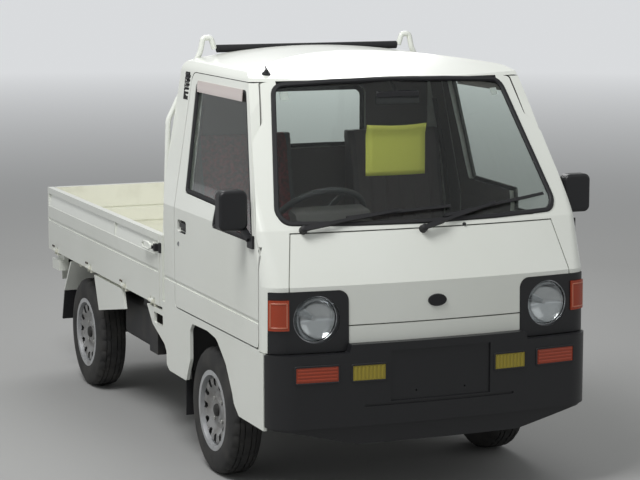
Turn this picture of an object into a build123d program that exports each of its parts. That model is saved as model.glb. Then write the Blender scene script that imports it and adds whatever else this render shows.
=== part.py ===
from build123d import *
import math
import os

os.makedirs("parts", exist_ok=True)

# A kei truck: cab over the front wheels, flat bed with three drop gates, engine under the bed's tail.
# Millimetres. Z is up, the front faces -Y, the driver sits on the -X side, the ground is Z = 0.

# Overall sizes
LENGTH = 3295.0
WIDTH = 1395.0
FRONT_Y = -LENGTH / 2
REAR_Y = LENGTH / 2
HALF = WIDTH / 2
TOP_Z = 1795.0

# Wheels and axles
WHEELBASE = 1885.0
FRONT_AXLE_Y = -838.0
REAR_AXLE_Y = FRONT_AXLE_Y + WHEELBASE
TYRE_R = 267.0
TYRE_W = 140.0
TRACK = 1210.0
RIM_EDGE_R = 169.0
TYRE_BEAD_R = 157.0
HUB_BORE_R = 20.0
RUN_FIT = 0.05
KINGPIN_X = 560.0
KINGPIN_R = 10.0

# Cab body, seen from the front and from the side
WALL = 35.0
BELT_Z = 1075.0
SILL_Z = 640.0
CAB_BACK_Y = -265.0
NOSE_SAG = 53.0
SCREEN_LOW = (-1501.0, 1100.0)
SCREEN_HIGH = (-1130.0, 1665.0)
ROOF_HALF = 594.0
ROOF_MID_Z = 1744.0
ROOF_SPLIT_Z = 1652.0
SHELL_END_Z = 560.0
GAP = 5.0
SEAT_GAP = 0.3

# Doors
DOOR_GAP = 6.0
DOOR_FRONT_Y = -1462.0
DOOR_REAR_Y = -446.0
DOOR_BOTTOM_Z = SILL_Z + DOOR_GAP
DOOR_PIN_IN = 8.0
DOOR_PIN_R = 4.0
DOOR_PIN_L = 30.0
DOOR_TOP_Z = 1648.0
GLASS_T = 4.0

# Bed and gates
GATE_BOTTOM_Z = 609.0
GATE_TOP_Z = 928.0
GATE_T = 32.0
DECK_Z = 650.0
DECK_T = 35.0
DECK_HALF = 655.0
EAR_EYE_R = 9.0
GATE_PIN_OUT = 3.0
GATE_REAR_Y = REAR_Y - EAR_EYE_R - GATE_PIN_OUT
GATE_PIN_UP = 9.0
GATE_PIN_R = 4.0
HINGE_W = 40.0
EAR_W = 8.0

# Bumper and lamps
BUMPER_TOP_Z = 668.0
BUMPER_CORNER_Z = 634.0
BUMPER_SIDE_Y = -1519.0
LAMP_X = 500.0
LAMP_Z = 765.0
LAMP_R = 93.0
BEZEL = (372.0, BUMPER_CORNER_Z + 3.0, 720.0, 875.0)
BEZEL_RADII = [12, 40, 20, 12]
BEZEL_BACK_Y = -1528.0
MARKER = (612.0, 728.0, 720.0, 846.0)


def make_poly(points, radius=0.0):
    """Closed sketch from local points, with every corner rounded by one radius, or by a list of them."""
    if isinstance(radius, (int, float)) and radius == 0:
        return make_face(Polyline(*points, close=True))
    return make_face(FilletPolyline(*points, radius=radius, close=True))


def side_prism(points, x0, x1, radius=0.0):
    """Outline in (y, z), extruded across from x0 to x1."""
    plane = Plane(origin=(x0, 0, 0), x_dir=(0, 1, 0), z_dir=(1, 0, 0))
    return extrude(plane * make_poly(points, radius), x1 - x0)


def front_prism(points, y0, y1, radius=0.0):
    """Outline in (x, z), extruded back from y0 to y1."""
    plane = Plane(origin=(0, y1, 0), x_dir=(1, 0, 0), z_dir=(0, -1, 0))
    return extrude(plane * make_poly(points, radius), y1 - y0)


def block(x0, x1, y0, y1, z0, z1):
    """Box between two corners."""
    return Pos((x0 + x1) / 2, (y0 + y1) / 2, (z0 + z1) / 2) * Box(x1 - x0, y1 - y0, z1 - z0)


def rod_x(x0, x1, y, z, r):
    """Round bar along X."""
    return Pos((x0 + x1) / 2, y, z) * Rot(0, 90, 0) * Cylinder(r, abs(x1 - x0))


def rod_y(y0, y1, x, z, r):
    """Round bar along Y."""
    return Pos(x, (y0 + y1) / 2, z) * Rot(90, 0, 0) * Cylinder(r, abs(y1 - y0))


def rod_z(z0, z1, x, y, r):
    """Round bar along Z."""
    return Pos(x, y, (z0 + z1) / 2) * Cylinder(r, abs(z1 - z0))


def bar(p, q, width, height):
    """Rectangular bar from p to q, its width level."""
    start = Vector(*p)
    run = Vector(*q) - start
    side = run.cross(Vector(0, 0, 1))
    plane = Plane(origin=start, x_dir=side, z_dir=run)
    return extrude(plane * Rectangle(width, height), run.length)


def tube(points, r, bend):
    """Round tube along straight runs joined by tangent arcs."""
    path = FilletPolyline(*points, radius=bend)
    run = Vector(*points[1]) - Vector(*points[0])
    plane = Plane(origin=points[0], z_dir=run)
    return sweep(plane * Circle(r), path=path)


def mirrored(solid):
    """The same piece on the other side of the truck."""
    return mirror(solid, about=Plane.YZ)


def save(name, *solids):
    """One STEP file for a node, of one or more solids that don't touch."""
    found = []
    for item in solids:
        found += list(item.solids())
    shape = found[0] if len(found) == 1 else Compound(children=found)
    export_step(shape, f"parts/{name}.step")


# Cab volume: a front and plan loft, a cross-section with leaning sides, and a roof line
NOSE_ROWS = [
    # height, nose on the centreline, corner radius in plan
    (300.0, -1590.0, 88.0),
    (640.0, -1606.0, 88.0),
    (893.0, -1601.0, 84.0),
    (SCREEN_LOW[1], SCREEN_LOW[0], 44.0),
    (SCREEN_HIGH[1], SCREEN_HIGH[0], 30.0),
    (1790.0, -1048.0, 30.0),
]


def nose_section(z, nose, corner, inset):
    """Plan of the cab at one height."""
    half = HALF - inset
    front = nose + inset
    side = front + NOSE_SAG
    back = CAB_BACK_Y - inset
    arc = ThreePointArc((-half, side), (0, front), (half, side))
    rest = Polyline((half, side), (half, back), (-half, back), (-half, side))
    face = make_face([arc, *rest.edges()])
    fronts = face.vertices().sort_by(Axis.Y)[:2]
    face = fillet(fronts, corner - min(inset, corner / 2))
    backs = face.vertices().sort_by(Axis.Y)[-2:]
    return Plane.XY.offset(z) * fillet(backs, 40.0 - min(inset, 30.0))


def cab_across(inset):
    """The cab's cross-section, leaning in above the belt line, run along the whole truck."""
    half = HALF - inset
    roof = ROOF_HALF - inset
    rail = SCREEN_HIGH[1] + 20.0 - inset
    sides = Polyline((-roof, rail), (-half, BELT_Z), (-half, 200), (half, 200), (half, BELT_Z), (roof, rail))
    top = ThreePointArc((-roof, rail), (0, ROOF_MID_Z - inset), (roof, rail))
    section = make_face([top, *sides.edges()])
    rails = section.vertices().sort_by(Axis.Y)[-2:]
    section = fillet(rails, 55.0 - min(inset, 40.0))
    plane = Plane(origin=(0, 0, 0), x_dir=(1, 0, 0), z_dir=(0, -1, 0))
    return extrude(plane * section, 1700)


def cab_volume(inset):
    """The cab's closed outer form, moved in by inset on every side but the floor."""
    body = loft([nose_section(z, nose, r, inset) for z, nose, r in NOSE_ROWS], ruled=True)
    crown = ROOF_MID_Z - inset
    line = ThreePointArc((-1190, 1634 - inset), (-700, crown), (-200, crown - 8))
    under = Polyline((-200, crown - 8), (-200, 100), (-1800, 100), (-1800, 1634 - inset), (-1190, 1634 - inset))
    along_plane = Plane(origin=(-800, 0, 0), x_dir=(0, 1, 0), z_dir=(1, 0, 0))
    along = extrude(along_plane * make_face([line, *under.edges()]), 1600)
    return body & cab_across(inset) & along


OUTER = cab_volume(0.0)
INNER = cab_volume(WALL)
SIDE_BAND = cab_across(0.0) - cab_across(WALL)
SHELL = (OUTER - INNER) & block(-800, 800, -1800, 0, SHELL_END_Z, 1900)

# Windows
SCREEN_CUT = [(-618, 1118), (0, 1104), (618, 1118), (507, 1640), (0, 1654), (-507, 1640)]
SCREEN_RADII = [50, 0, 50, 50, 0, 50]
REAR_GLASS = [(-255, 1290), (255, 1290), (255, 1560), (-255, 1560)]
SIDE_GLASS = [(-553, 1150), (-480, 1612), (-1092, 1618), (-1412, 1050), (-930, 1050), (-943, 1140)]
SIDE_GLASS_RADII = [12, 30, 34, 20, 4, 4]


def grown(points, radii, amount):
    """An outline moved out by amount, or in where it is negative."""
    return offset(make_poly(points, radii), amount)


def front_window(amount, y0, y1):
    plane = Plane(origin=(0, y1, 0), x_dir=(1, 0, 0), z_dir=(0, -1, 0))
    return extrude(plane * grown(SCREEN_CUT, SCREEN_RADII, amount), y1 - y0)


def side_window(amount, x0, x1):
    plane = Plane(origin=(x0, 0, 0), x_dir=(0, 1, 0), z_dir=(1, 0, 0))
    return extrude(plane * grown(SIDE_GLASS, SIDE_GLASS_RADII, amount), x1 - x0)


# Door outline in the side view: its front edge laps over the windscreen pillar
DOOR_RISE_Z = 1010.0
DOOR_TOP_FRONT_Y = -1113.0
DOOR_TOP_REAR_Y = -424.0
DOOR_RADII = [24, 0, 40, 30, 30, 24]


def door_outline(grow):
    """The door in the side view, or its opening where grow is the gap."""
    rear = DOOR_REAR_Y + grow
    front = DOOR_FRONT_Y - grow
    top = DOOR_TOP_Z + grow * 0.5
    return [
        (rear, DOOR_BOTTOM_Z - grow), (rear, 1100), (DOOR_TOP_REAR_Y + grow, top),
        (DOOR_TOP_FRONT_Y - grow, top), (front, DOOR_RISE_Z + grow), (front, DOOR_BOTTOM_Z - grow),
    ]


DOOR_PIN_Y = DOOR_FRONT_Y + DOOR_PIN_IN
DOOR_PIN_X = HALF - DOOR_PIN_IN
door_form = side_prism(door_outline(0.0), 400, 800, DOOR_RADII)
deep_band = cab_across(0.0) - cab_across(WALL + DOOR_GAP)
door_swing = rod_z(SILL_Z, DOOR_RISE_Z, DOOR_PIN_X, DOOR_PIN_Y, DOOR_PIN_IN + 9.0)
door_swing += rod_z(DOOR_RISE_Z - 1, 1042, DOOR_PIN_X, DOOR_PIN_Y, DOOR_PIN_IN + DOOR_GAP)
door_hole = (side_prism(door_outline(DOOR_GAP), 400, 800, DOOR_RADII) & deep_band) + door_swing
FRONT_SPLIT_Y = DOOR_FRONT_Y - DOOR_GAP
COWL_Z = 1112.0

# Doors, on pins at the front edge, with a hand recess and a pressed line
HANDLE = [(-598, 976), (-598, 1030), (-486, 1030), (-486, 976)]
HANDLE_DEPTH = 17.0
PRESSED_LINE = [(-260, 746), (-260, 762), (-1500, 757), (-1500, 741)]
PRESSED_DEPTH = 5.0
pin_hole = rod_z(500, 1090, DOOR_PIN_X, DOOR_PIN_Y, DOOR_PIN_R + RUN_FIT)
door_l = (OUTER & SIDE_BAND & door_form) - side_window(0.0, 400, 800) - pin_hole
door_l -= side_prism(HANDLE, HALF - HANDLE_DEPTH, 800, 14)
pressed_line = side_prism(PRESSED_LINE, HALF - PRESSED_DEPTH, 800)
door_l -= pressed_line
glass_shell = cab_across(12.0) - cab_across(12.0 + GLASS_T)
door_glass_l = glass_shell & side_window(-SEAT_GAP, 400, 800)
save("door_left", door_l)
save("door_right", mirrored(door_l))
save("door_glass_left", door_glass_l)
save("door_glass_right", mirrored(door_glass_l))


def door_mirror():
    """Outside mirror: a rounded head on a foot at the window's front corner."""
    head = Pos(756, -1330, 1172) * Box(118, 52, 158)
    head = fillet(head.edges().filter_by(Axis.Y), 26)
    head = fillet(head.edges().group_by(Axis.Y)[0], 12)
    arm = bar((712, -1340, 1096), (705.5, -1392, 1062), 26, 16)
    foot = block(698, 708, -1424, -1368, 1030, 1080)
    return head + arm + foot


mirror_l = door_mirror()
save("mirror_left", mirror_l)
save("mirror_right", mirrored(mirror_l))

# Cab sides: wheel arch, sill, pillars and the tail under the bed
ARCH = [
    # y, z, corner radius
    (-45, 593, 0), (-45, 588, 0), (-122, 515, 30), (-290, 452, 30), (-318, 424, 14), (-319, 366, 14),
    (-360, 346, 30), (-586, 346, 14), (-612, 398, 0), (-641, 446, 24), (-641, 576, 22), (-672, 607, 22),
    (-861, 611, 90), (-973, 597, 90), (-1084, 516, 90), (-1159, 411, 70), (-1181, 368, 24), (-1236, 330, 24),
    (-1515, 330, 0), (-1515, BUMPER_CORNER_Z, 0), (FRONT_SPLIT_Y, BUMPER_CORNER_Z, 0), (FRONT_SPLIT_Y, SILL_Z, 0),
    (CAB_BACK_Y, SILL_Z, 0), (CAB_BACK_Y, 593, 0),
]
SKIRT_VENT = [(-271, 524), (-142, 524), (-142, 573), (-271, 573)]
PILLAR_VENT = (-405.0, -352.0, 1535.0, 1640.0)
PILLAR_SLOTS = 6
SKIRT_T = 14.0
side_skirt = side_prism([(y, z) for y, z, r in ARCH], HALF - SKIRT_T, HALF, [r for y, z, r in ARCH])
side_skirt -= side_prism(SKIRT_VENT, HALF - SKIRT_T - 5, HALF + 5, 8)
front_zone = block(-800, 800, -1800, -1380, SILL_Z + SEAT_GAP, COWL_Z)
front_zone += block(-800, 800, -1800, FRONT_SPLIT_Y - SEAT_GAP, BUMPER_CORNER_Z + 3, SILL_Z + 1)
side_zone = block(560, 800, FRONT_SPLIT_Y, -200, SILL_Z, ROOF_SPLIT_Z) + block(490, 800, -1800, -1000, COWL_Z, ROOF_SPLIT_Z)
side_frame = (SHELL - door_hole) & side_zone
side_frame = side_frame - front_zone - front_window(0.0, -1700, -900)
door_pins = rod_z(SILL_Z - 1, SILL_Z + DOOR_PIN_L, DOOR_PIN_X, DOOR_PIN_Y, DOOR_PIN_R)
sill_rail = block(HALF - WALL, HALF - SKIRT_T, FRONT_SPLIT_Y, CAB_BACK_Y, 616, SILL_Z)
side_l = side_skirt + side_frame + sill_rail - pressed_line + door_pins
slot_pitch = (PILLAR_VENT[3] - PILLAR_VENT[2]) / PILLAR_SLOTS
vent_band = cab_across(-5.0) - cab_across(12.0)
for i in range(PILLAR_SLOTS):
    slot_z = PILLAR_VENT[2] + i * slot_pitch
    side_l -= vent_band & block(400, 800, PILLAR_VENT[0], PILLAR_VENT[1], slot_z, slot_z + slot_pitch * 0.6)
save("cab_sides", side_l, mirrored(side_l))

# Roof, back wall and glass
roof = (SHELL & block(-800, 800, -1800, 0, ROOF_SPLIT_Z, 1900)) - front_window(0.0, -1700, -900)
save("roof_panel", roof)
back_wall = SHELL & block(-560, 560, -400, -200, 590, ROOF_SPLIT_Z)
back_wall -= front_prism(REAR_GLASS, -400, -200, 40)
save("cab_back_panel", back_wall)
screen = (cab_volume(6.0) - cab_volume(6.0 + 5.0)) & front_window(-SEAT_GAP, -1700, -900)
rear_pane = front_prism(REAR_GLASS, CAB_BACK_Y - 20, CAB_BACK_Y - 15, 40)
save("cab_glass", screen, rear_pane)

# Front panel with lamp recesses, and the bolted lid between the seams
LID_Z = (738.0, 1086.0)
LID = [(-608, LID_Z[0]), (608, LID_Z[0]), (604, 896), (566, LID_Z[1]), (-566, LID_Z[1]), (-604, 896)]


def lamp_box(spec, grow, y1=-1440.0):
    """Box round a lamp on the +X side from (x0, z0, x1, z1)."""
    x0, z0, x1, z1 = spec
    return block(x0 - grow, x1 + grow, -1800, y1, z0 - grow, z1 + grow)


def bezel_form(grow):
    """The bezel's rounded outline, seen from the front."""
    x0, z0, x1, z1 = BEZEL
    outline = make_poly([(x0, z0), (x0, z1), (x1, z1), (x1, z0)], BEZEL_RADII)
    plane = Plane(origin=(0, BEZEL_BACK_Y + grow, 0), x_dir=(1, 0, 0), z_dir=(0, -1, 0))
    return extrude(plane * offset(outline, grow), 300)


def front_skin(outer_inset, inner_inset):
    """A slice of the nose between two insets."""
    return cab_volume(outer_inset) - cab_volume(inner_inset)


BEZEL_T = 28.0
lamp_bore = rod_y(-1700, -1400, LAMP_X, LAMP_Z, LAMP_R)
bezel_hole = bezel_form(1.5)
bezel_seat = bezel_hole & front_skin(-12.0, BEZEL_T + SEAT_GAP)
lamp_hole = rod_y(-1700, -1400, LAMP_X, LAMP_Z, LAMP_R + 1.5)
bezel_seat += lamp_hole
front = (SHELL & front_zone) - front_window(0.0, -1700, -900) - door_hole - mirrored(door_hole)
lid_form = front_prism(LID, -1800, -1380)
lid_plane = Plane(origin=(0, -1380, 0), x_dir=(1, 0, 0), z_dir=(0, -1, 0))
front -= extrude(lid_plane * offset(make_poly(LID), GAP, kind=Kind.INTERSECTION), 420)
lid = (SHELL & lid_form) - bezel_hole - mirrored(bezel_hole) - lamp_hole - mirrored(lamp_hole)
front = front - bezel_seat - mirrored(bezel_seat)
save("front_panel", front)
save("front_lid", lid)

# Lamp bezels round the headlamps, with the marker lamps let in at the corners
MARKER_BACK = 18.0
MARKER_PROUD = 9.0
MARKER_Y = BEZEL_BACK_Y - 8.0
bezel_l = front_skin(-3.0, BEZEL_T) & bezel_form(0.0)
bezel_l = bezel_l - lamp_bore - (front_skin(-MARKER_PROUD, MARKER_BACK) & lamp_box(MARKER, 1.0, MARKER_Y))
save("lamp_bezels", bezel_l, mirrored(bezel_l))
marker_l = front_skin(-MARKER_PROUD, MARKER_BACK - 0.2) & lamp_box(MARKER, 0.0, MARKER_Y)
LENS_RIM_Y = -1560.0
LENS_DEPTH = 24.0
LENS_BACK_Y = -1512.0


def headlamp():
    """Round lamp: a drum whose front is a shallow dome."""
    apex = LENS_RIM_Y - LENS_DEPTH
    dome_r = (LAMP_R ** 2 + LENS_DEPTH ** 2) / (2 * LENS_DEPTH)
    drum = rod_y(apex, LENS_BACK_Y, LAMP_X, LAMP_Z, LAMP_R)
    return drum & Pos(LAMP_X, apex + dome_r, LAMP_Z) * Sphere(dome_r)


headlamp_l = headlamp()
save("headlamps", headlamp_l, mirrored(headlamp_l))

# Front bumper: one deep wrap-round moulding with lamp pockets
BUMPER_SAG = 46.0
BUMPER_T = 36.0
FLANGE_T = 4.0
FLANGE_OUT = 8.0
TURN = (427.0, 525.0, 604.0, 592.0)
FOG = (234.0, 522.0, 376.0, 589.0)
BUMPER_R = 120.0
BUMPER_FACE = [
    # x, z, corner radius
    (-705, BUMPER_CORNER_Z, 24), (-705, 338, 14), (-610, 332, 30), (-350, 272, 40), (350, 272, 40),
    (610, 332, 30), (705, 338, 14), (705, BUMPER_CORNER_Z, 24), (386, BUMPER_CORNER_Z, 8),
    (376, BUMPER_TOP_Z, 8), (-376, BUMPER_TOP_Z, 8), (-386, BUMPER_CORNER_Z, 8),
]
CHIN_Z = 346.0
CHIN_DEPTH = 13.0
PLATE_FIELD = (-215.0, 215.0, 436.0, 636.0)
PLATE_DEPTH = 7.0
BUMPER_LINE = (-322.0, 322.0, 421.0, 430.0)
LINE_DEPTH = 5.0
PLATE_HOLE_X = 105.0
PLATE_HOLE_Z = 470.0
PLATE_HOLE_R = 3.5


def bumper_plan(inset, back):
    """Plan of the bumper's outside, moved in by inset."""
    half = HALF - inset
    front = FRONT_Y + inset
    side = front + BUMPER_SAG
    arc = ThreePointArc((-half, side), (0, front), (half, side))
    rest = Polyline((half, side), (half, back), (-half, back), (-half, side))
    face = make_face([arc, *rest.edges()])
    corners = face.vertices().sort_by(Axis.Y)[:2]
    return fillet(corners, BUMPER_R - inset)


def bumper_slice(outer_inset, inner_inset, back):
    """The bumper's wall between two insets, over its full height."""
    ring = bumper_plan(outer_inset, back) - bumper_plan(inner_inset, back + 10)
    return extrude(Plane.XY.offset(200) * ring, 500)


face_points = [(x, z) for x, z, r in BUMPER_FACE]
face_radii = [r for x, z, r in BUMPER_FACE]
bumper = bumper_slice(0.0, BUMPER_T, -1410) & front_prism(face_points, -1700, BUMPER_SIDE_Y, face_radii)
bumper -= bumper_slice(-8.0, CHIN_DEPTH, -1410) & block(-800, 800, -1800, -1400, 200, CHIN_Z)
for (x0, x1, z0, z1), depth in ((PLATE_FIELD, PLATE_DEPTH), (BUMPER_LINE, LINE_DEPTH)):
    bumper -= bumper_slice(-8.0, depth, -1410) & block(x0, x1, -1800, -1600, z0, z1)
for x in (-PLATE_HOLE_X, PLATE_HOLE_X):
    bumper -= rod_y(-1700, -1590, x, PLATE_HOLE_Z, PLATE_HOLE_R)
for pocket in (TURN, FOG):
    hole = lamp_box(pocket, 1.0, -1560)
    bumper = bumper - hole - mirrored(hole)
save("front_bumper", bumper)


def bumper_lamp(spec, proud):
    """Lamp let into the bumper, with a flange against the bumper's inside."""
    lens = bumper_slice(-proud, BUMPER_T + FLANGE_T, -1410) & lamp_box(spec, 0.0, -1560)
    flange = bumper_slice(BUMPER_T, BUMPER_T + FLANGE_T, -1410) & lamp_box(spec, FLANGE_OUT, -1560)
    return lens + flange


turn_l = bumper_lamp(TURN, 1.0)
fog_l = bumper_lamp(FOG, 0.0)
save("turn_lamps", turn_l, mirrored(turn_l), marker_l, mirrored(marker_l))
save("fog_lamps", fog_l, mirrored(fog_l))

# Cab floor: a folded pan, low under the feet and stepped up over the wheels for the seats
FOOT_Z = 590.0
LINER_X = 384.0
SEAT_BASE_Z = 800.0
PAN_T = 25.0
PAN = [
    (-1575, FOOT_Z - PAN_T), (-1080, FOOT_Z - PAN_T), (-1080, SEAT_BASE_Z - PAN_T),
    (-280, SEAT_BASE_Z - PAN_T), (-280, SEAT_BASE_Z), (-1105, SEAT_BASE_Z), (-1105, FOOT_Z), (-1575, FOOT_Z),
]
TRIM_HALF = HALF - WALL - DOOR_GAP - 5.0
inside = cab_volume(WALL + SEAT_GAP)
floor = side_prism(PAN, -TRIM_HALF, TRIM_HALF) & inside
liner = block(LINER_X - 6, LINER_X, -1080, -545, 450, SEAT_BASE_Z - PAN_T + 1)
liner += block(LINER_X - 6, TRIM_HALF, -551, -545, 380, SEAT_BASE_Z - PAN_T + 1)
floor = floor + liner + mirrored(liner)
save("cab_floor", floor)
WHEEL_C = Vector(-330, -1180, 1105)
COLUMN_TILT = 42.0
COLUMN_N = Vector(0, math.sin(math.radians(COLUMN_TILT)), math.cos(math.radians(COLUMN_TILT)))


def on_column(t):
    """Point at a distance t along the steering column, from the wheel's centre."""
    return WHEEL_C + COLUMN_N * t


def column_rod(t0, t1, r):
    plane = Plane(origin=on_column(t0), z_dir=COLUMN_N)
    return extrude(plane * Circle(r), t1 - t0)


DASH = [(-1575, 1000), (-1290, 985), (-1255, 1010), (-1262, 1070), (-1330, 1096), (-1575, 1098)]
dash = side_prism(DASH, -TRIM_HALF, TRIM_HALF, [0, 20, 20, 20, 20, 0]) & inside
dash = dash - column_rod(-500, 40, 28)
save("dashboard", dash)
column = column_rod(-330, -34, 20) + column_rod(-60, 14, 9)
foot_y = on_column(-320).Y
column = column + rod_z(FOOT_Z, on_column(-320).Z, WHEEL_C.X, foot_y, 14)
save("steering_column", column)
RIM_RING_R = 185.0
ring = Torus(RIM_RING_R, 13)
hub = Cylinder(34, 26) - Cylinder(9 + RUN_FIT, 60)
spokes = [Rot(0, 0, a) * Pos(RIM_RING_R / 2 + 12, 0, 0) * Box(RIM_RING_R - 24, 26, 9) for a in (-20, 200, 270)]
steering = ring + hub
for spoke in spokes:
    steering += spoke
steering = steering - Cylinder(9 + RUN_FIT, 60)
steering = Plane(origin=WHEEL_C, z_dir=COLUMN_N) * steering
save("steering_wheel", steering)

# Seats: two cushions and two backs
SEAT_X = (120.0, 600.0)
CUSHION = [(-1010, SEAT_BASE_Z), (-1030, 880), (-990, 912), (-560, 890), (-500, 880), (-500, SEAT_BASE_Z)]
BACK = [(-492, SEAT_BASE_Z), (-470, 1000), (-400, 1330), (-380, 1390), (-325, 1390), (-315, 1330), (-330, SEAT_BASE_Z)]
seat_l = side_prism(CUSHION, SEAT_X[0], SEAT_X[1], [0, 26, 26, 0, 20, 0])
back_l = side_prism(BACK, SEAT_X[0], SEAT_X[1], [0, 0, 0, 22, 22, 0, 0])
save("seats", seat_l, back_l, mirrored(seat_l), mirrored(back_l))

# Wipers: a pivot, an arm and a blade that follows the glass
SCREEN_RISE = (SCREEN_HIGH[0] - SCREEN_LOW[0]) / (SCREEN_HIGH[1] - SCREEN_LOW[1])
SCREEN_TILT = math.atan(SCREEN_RISE)
WIPERS = [
    # pivot x, z, arm end x, z, blade start x, z, blade end x, z
    ((-515, 1099), (-200, 1140), (-420, 1126), (20, 1152)),
    ((-21, 1084), (280, 1154), (60, 1116), (500, 1190)),
]


def over_screen(x, z, lift):
    """Point that stands off the windscreen's surface by lift."""
    y = SCREEN_LOW[0] + (z - SCREEN_LOW[1]) * SCREEN_RISE + NOSE_SAG * (x / HALF) ** 2
    return (x, y - lift * math.cos(SCREEN_TILT), z + lift * math.sin(SCREEN_TILT))


wiper_seat = cab_volume(-SEAT_GAP)
wiper_solids = []
for pivot, arm_end, start, end in WIPERS:
    mid = ((start[0] + end[0]) / 2, (start[1] + end[1]) / 2)
    blade = bar(over_screen(*start, 8), over_screen(*mid, 8), 12, 8) + bar(over_screen(*mid, 8), over_screen(*end, 8), 12, 8)
    arm = bar(over_screen(*pivot, 20), over_screen(*arm_end, 15), 14, 8)
    post = bar(over_screen(*pivot, -8), over_screen(*pivot, 26), 22, 22) - wiper_seat
    wiper_solids.append(post + arm + blade + bar(over_screen(*arm_end, 6), over_screen(*arm_end, 18), 16, 16))
save("wipers", *wiper_solids)

# Wheels: tyre with rounded shoulders, pressed steel rim with a hub bored for its stub
WHEEL_X = TRACK / 2


def tyre(x, y):
    """Tyre about the wheel's own axis, then set at its hub."""
    w = TYRE_W / 2
    inside_line = Polyline((-w + 12, TYRE_BEAD_R), (w - 12, TYRE_BEAD_R))
    outline = FilletPolyline((w - 12, TYRE_BEAD_R), (w, 205), (w - 8, 252), (w - 26, TYRE_R), (-w + 26, TYRE_R),
                             (-w + 8, 252), (-w, 205), (-w + 12, TYRE_BEAD_R), radius=9)
    face = make_face([*inside_line.edges(), *outline.edges()])
    return Pos(x, y, TYRE_R) * revolve(face, Axis.X)


RIM_HALF = 66.0
HUB_START = 8.0
HUB_END = 42.0
HOLES = 12
HOLE_RING_R = 120.0
DISC = [
    # along the axle from the middle, radius
    (34, 147), (47, 141), (54, 132), (52, 108), (41, 92), (33, 78), (33, 58), (HUB_END, 44), (HUB_END, 30),
    (34, 30), (28, 44), (28, 80), (36, 95), (46, 110), (47, 128), (42, 136), (28, 143), (28, 147),
]


def rim(x, y, sign):
    """Rim barrel with lips, domed disc with a ring of oval holes, and a bored hub."""
    w = RIM_HALF
    barrel = Polyline((-w, TYRE_BEAD_R), (w, TYRE_BEAD_R), (w, 149), (22, 146), (12, 142),
                      (-w + 22, 142), (-w, 149), close=True)
    ring = revolve(make_face(barrel), Axis.X)
    lip = rod_x(w - 3.5, w, 0, 0, RIM_EDGE_R) - rod_x(-100, 100, 0, 0, 150)
    ring = ring + lip + mirror(lip, about=Plane.YZ)
    plate = revolve(make_face(Polyline(*DISC, close=True)), Axis.X)
    core = rod_x(HUB_START, HUB_END, 0, 0, 46) - rod_x(-50, 100, 0, 0, HUB_BORE_R)
    whole = ring + plate + core
    for i in range(HOLES):
        hole = Pos(HUB_END, 0, HOLE_RING_R) * Rot(0, 90, 0) * extrude(SlotOverall(38, 27), 40, both=True)
        whole = whole - Rot(i * 360 / HOLES, 0, 0) * hole
    if sign < 0:
        whole = mirror(whole, about=Plane.YZ)
    return Pos(x, y, TYRE_R) * whole


CORNERS = [("fl", 1, FRONT_AXLE_Y), ("fr", -1, FRONT_AXLE_Y), ("rl", 1, REAR_AXLE_Y), ("rr", -1, REAR_AXLE_Y)]
for tag, sign, y in CORNERS:
    save(f"tyre_{tag}", tyre(sign * WHEEL_X, y))
    save(f"rim_{tag}", rim(sign * WHEEL_X, y, sign))

# Front knuckles turn on kingpins, and carry the stubs
DRUM_R = 95.0
STUB_END_X = WHEEL_X + HUB_END + 2
ARM_Z = (236.0, 252.0)
ROD_Y = FRONT_AXLE_Y - 110.0
ROD_Z = 219.0
ROD_END_X = 508.0
ROD_R = 10.0
EYE_R = 13.0


def hub_stub(x0):
    """Brake drum and the stub that the wheel turns on."""
    drum = rod_x(x0, x0 + 24, 0, TYRE_R, DRUM_R)
    return drum + rod_x(x0 + 20, STUB_END_X, 0, TYRE_R, HUB_BORE_R - RUN_FIT)


knuckle_l = block(536, 582, FRONT_AXLE_Y - 26, FRONT_AXLE_Y + 26, 212, 328)
knuckle_l += Pos(0, FRONT_AXLE_Y, 0) * hub_stub(580)
knuckle_l += block(ROD_END_X - 22, 540, FRONT_AXLE_Y - 24, FRONT_AXLE_Y + 20, *ARM_Z)
knuckle_l += block(ROD_END_X - 22, ROD_END_X, ROD_Y - 12, FRONT_AXLE_Y, *ARM_Z)
knuckle_l -= rod_z(100, 400, KINGPIN_X, FRONT_AXLE_Y, KINGPIN_R + RUN_FIT)
save("knuckle_left", knuckle_l)
save("knuckle_right", mirrored(knuckle_l))
save("steering_rod", rod_x(-ROD_END_X, ROD_END_X, ROD_Y, ROD_Z, ROD_R))

# Front suspension: crossmember, arms, kingpins, struts and the rod's housing
RAIL_X = (300.0, 350.0)
RAIL_Z = (490.0, 556.0)


def front_corner():
    """One side of the front suspension, from the crossmember out to the kingpin."""
    y = FRONT_AXLE_Y
    drop = block(270, 330, y - 30, y + 30, 180, 440)
    low = block(320, KINGPIN_X, y - EYE_R, y + EYE_R, 185, 205) + rod_z(185, 205, KINGPIN_X, y, EYE_R)
    pin = rod_z(200, 340, KINGPIN_X, y, KINGPIN_R)
    high = block(456, KINGPIN_X, y - EYE_R, y + EYE_R, 335, 355) + rod_z(335, 355, KINGPIN_X, y, EYE_R)
    strut = rod_z(335, SEAT_BASE_Z - PAN_T - SEAT_GAP, 480, y, 24) + rod_z(420, 600, 480, y, 36)
    return drop + low + pin + high + strut


cross = block(-330, 330, ROD_Y - 20, FRONT_AXLE_Y + 32, 430, RAIL_Z[0])
housing = block(-150, 150, ROD_Y - 20, ROD_Y + 20, ROD_Z - 18, ROD_Z + 18)
housing += block(-40, 40, ROD_Y - 20, ROD_Y + 20, ROD_Z + 10, 440)
housing -= rod_x(-200, 200, ROD_Y, ROD_Z, ROD_R + RUN_FIT)
corner_l = front_corner()
save("front_suspension", cross + housing + corner_l + mirrored(corner_l))

# Rear suspension: trailing arms, springs and the shafts to the hubs
REAR_STUB_X = 580.0


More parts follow.
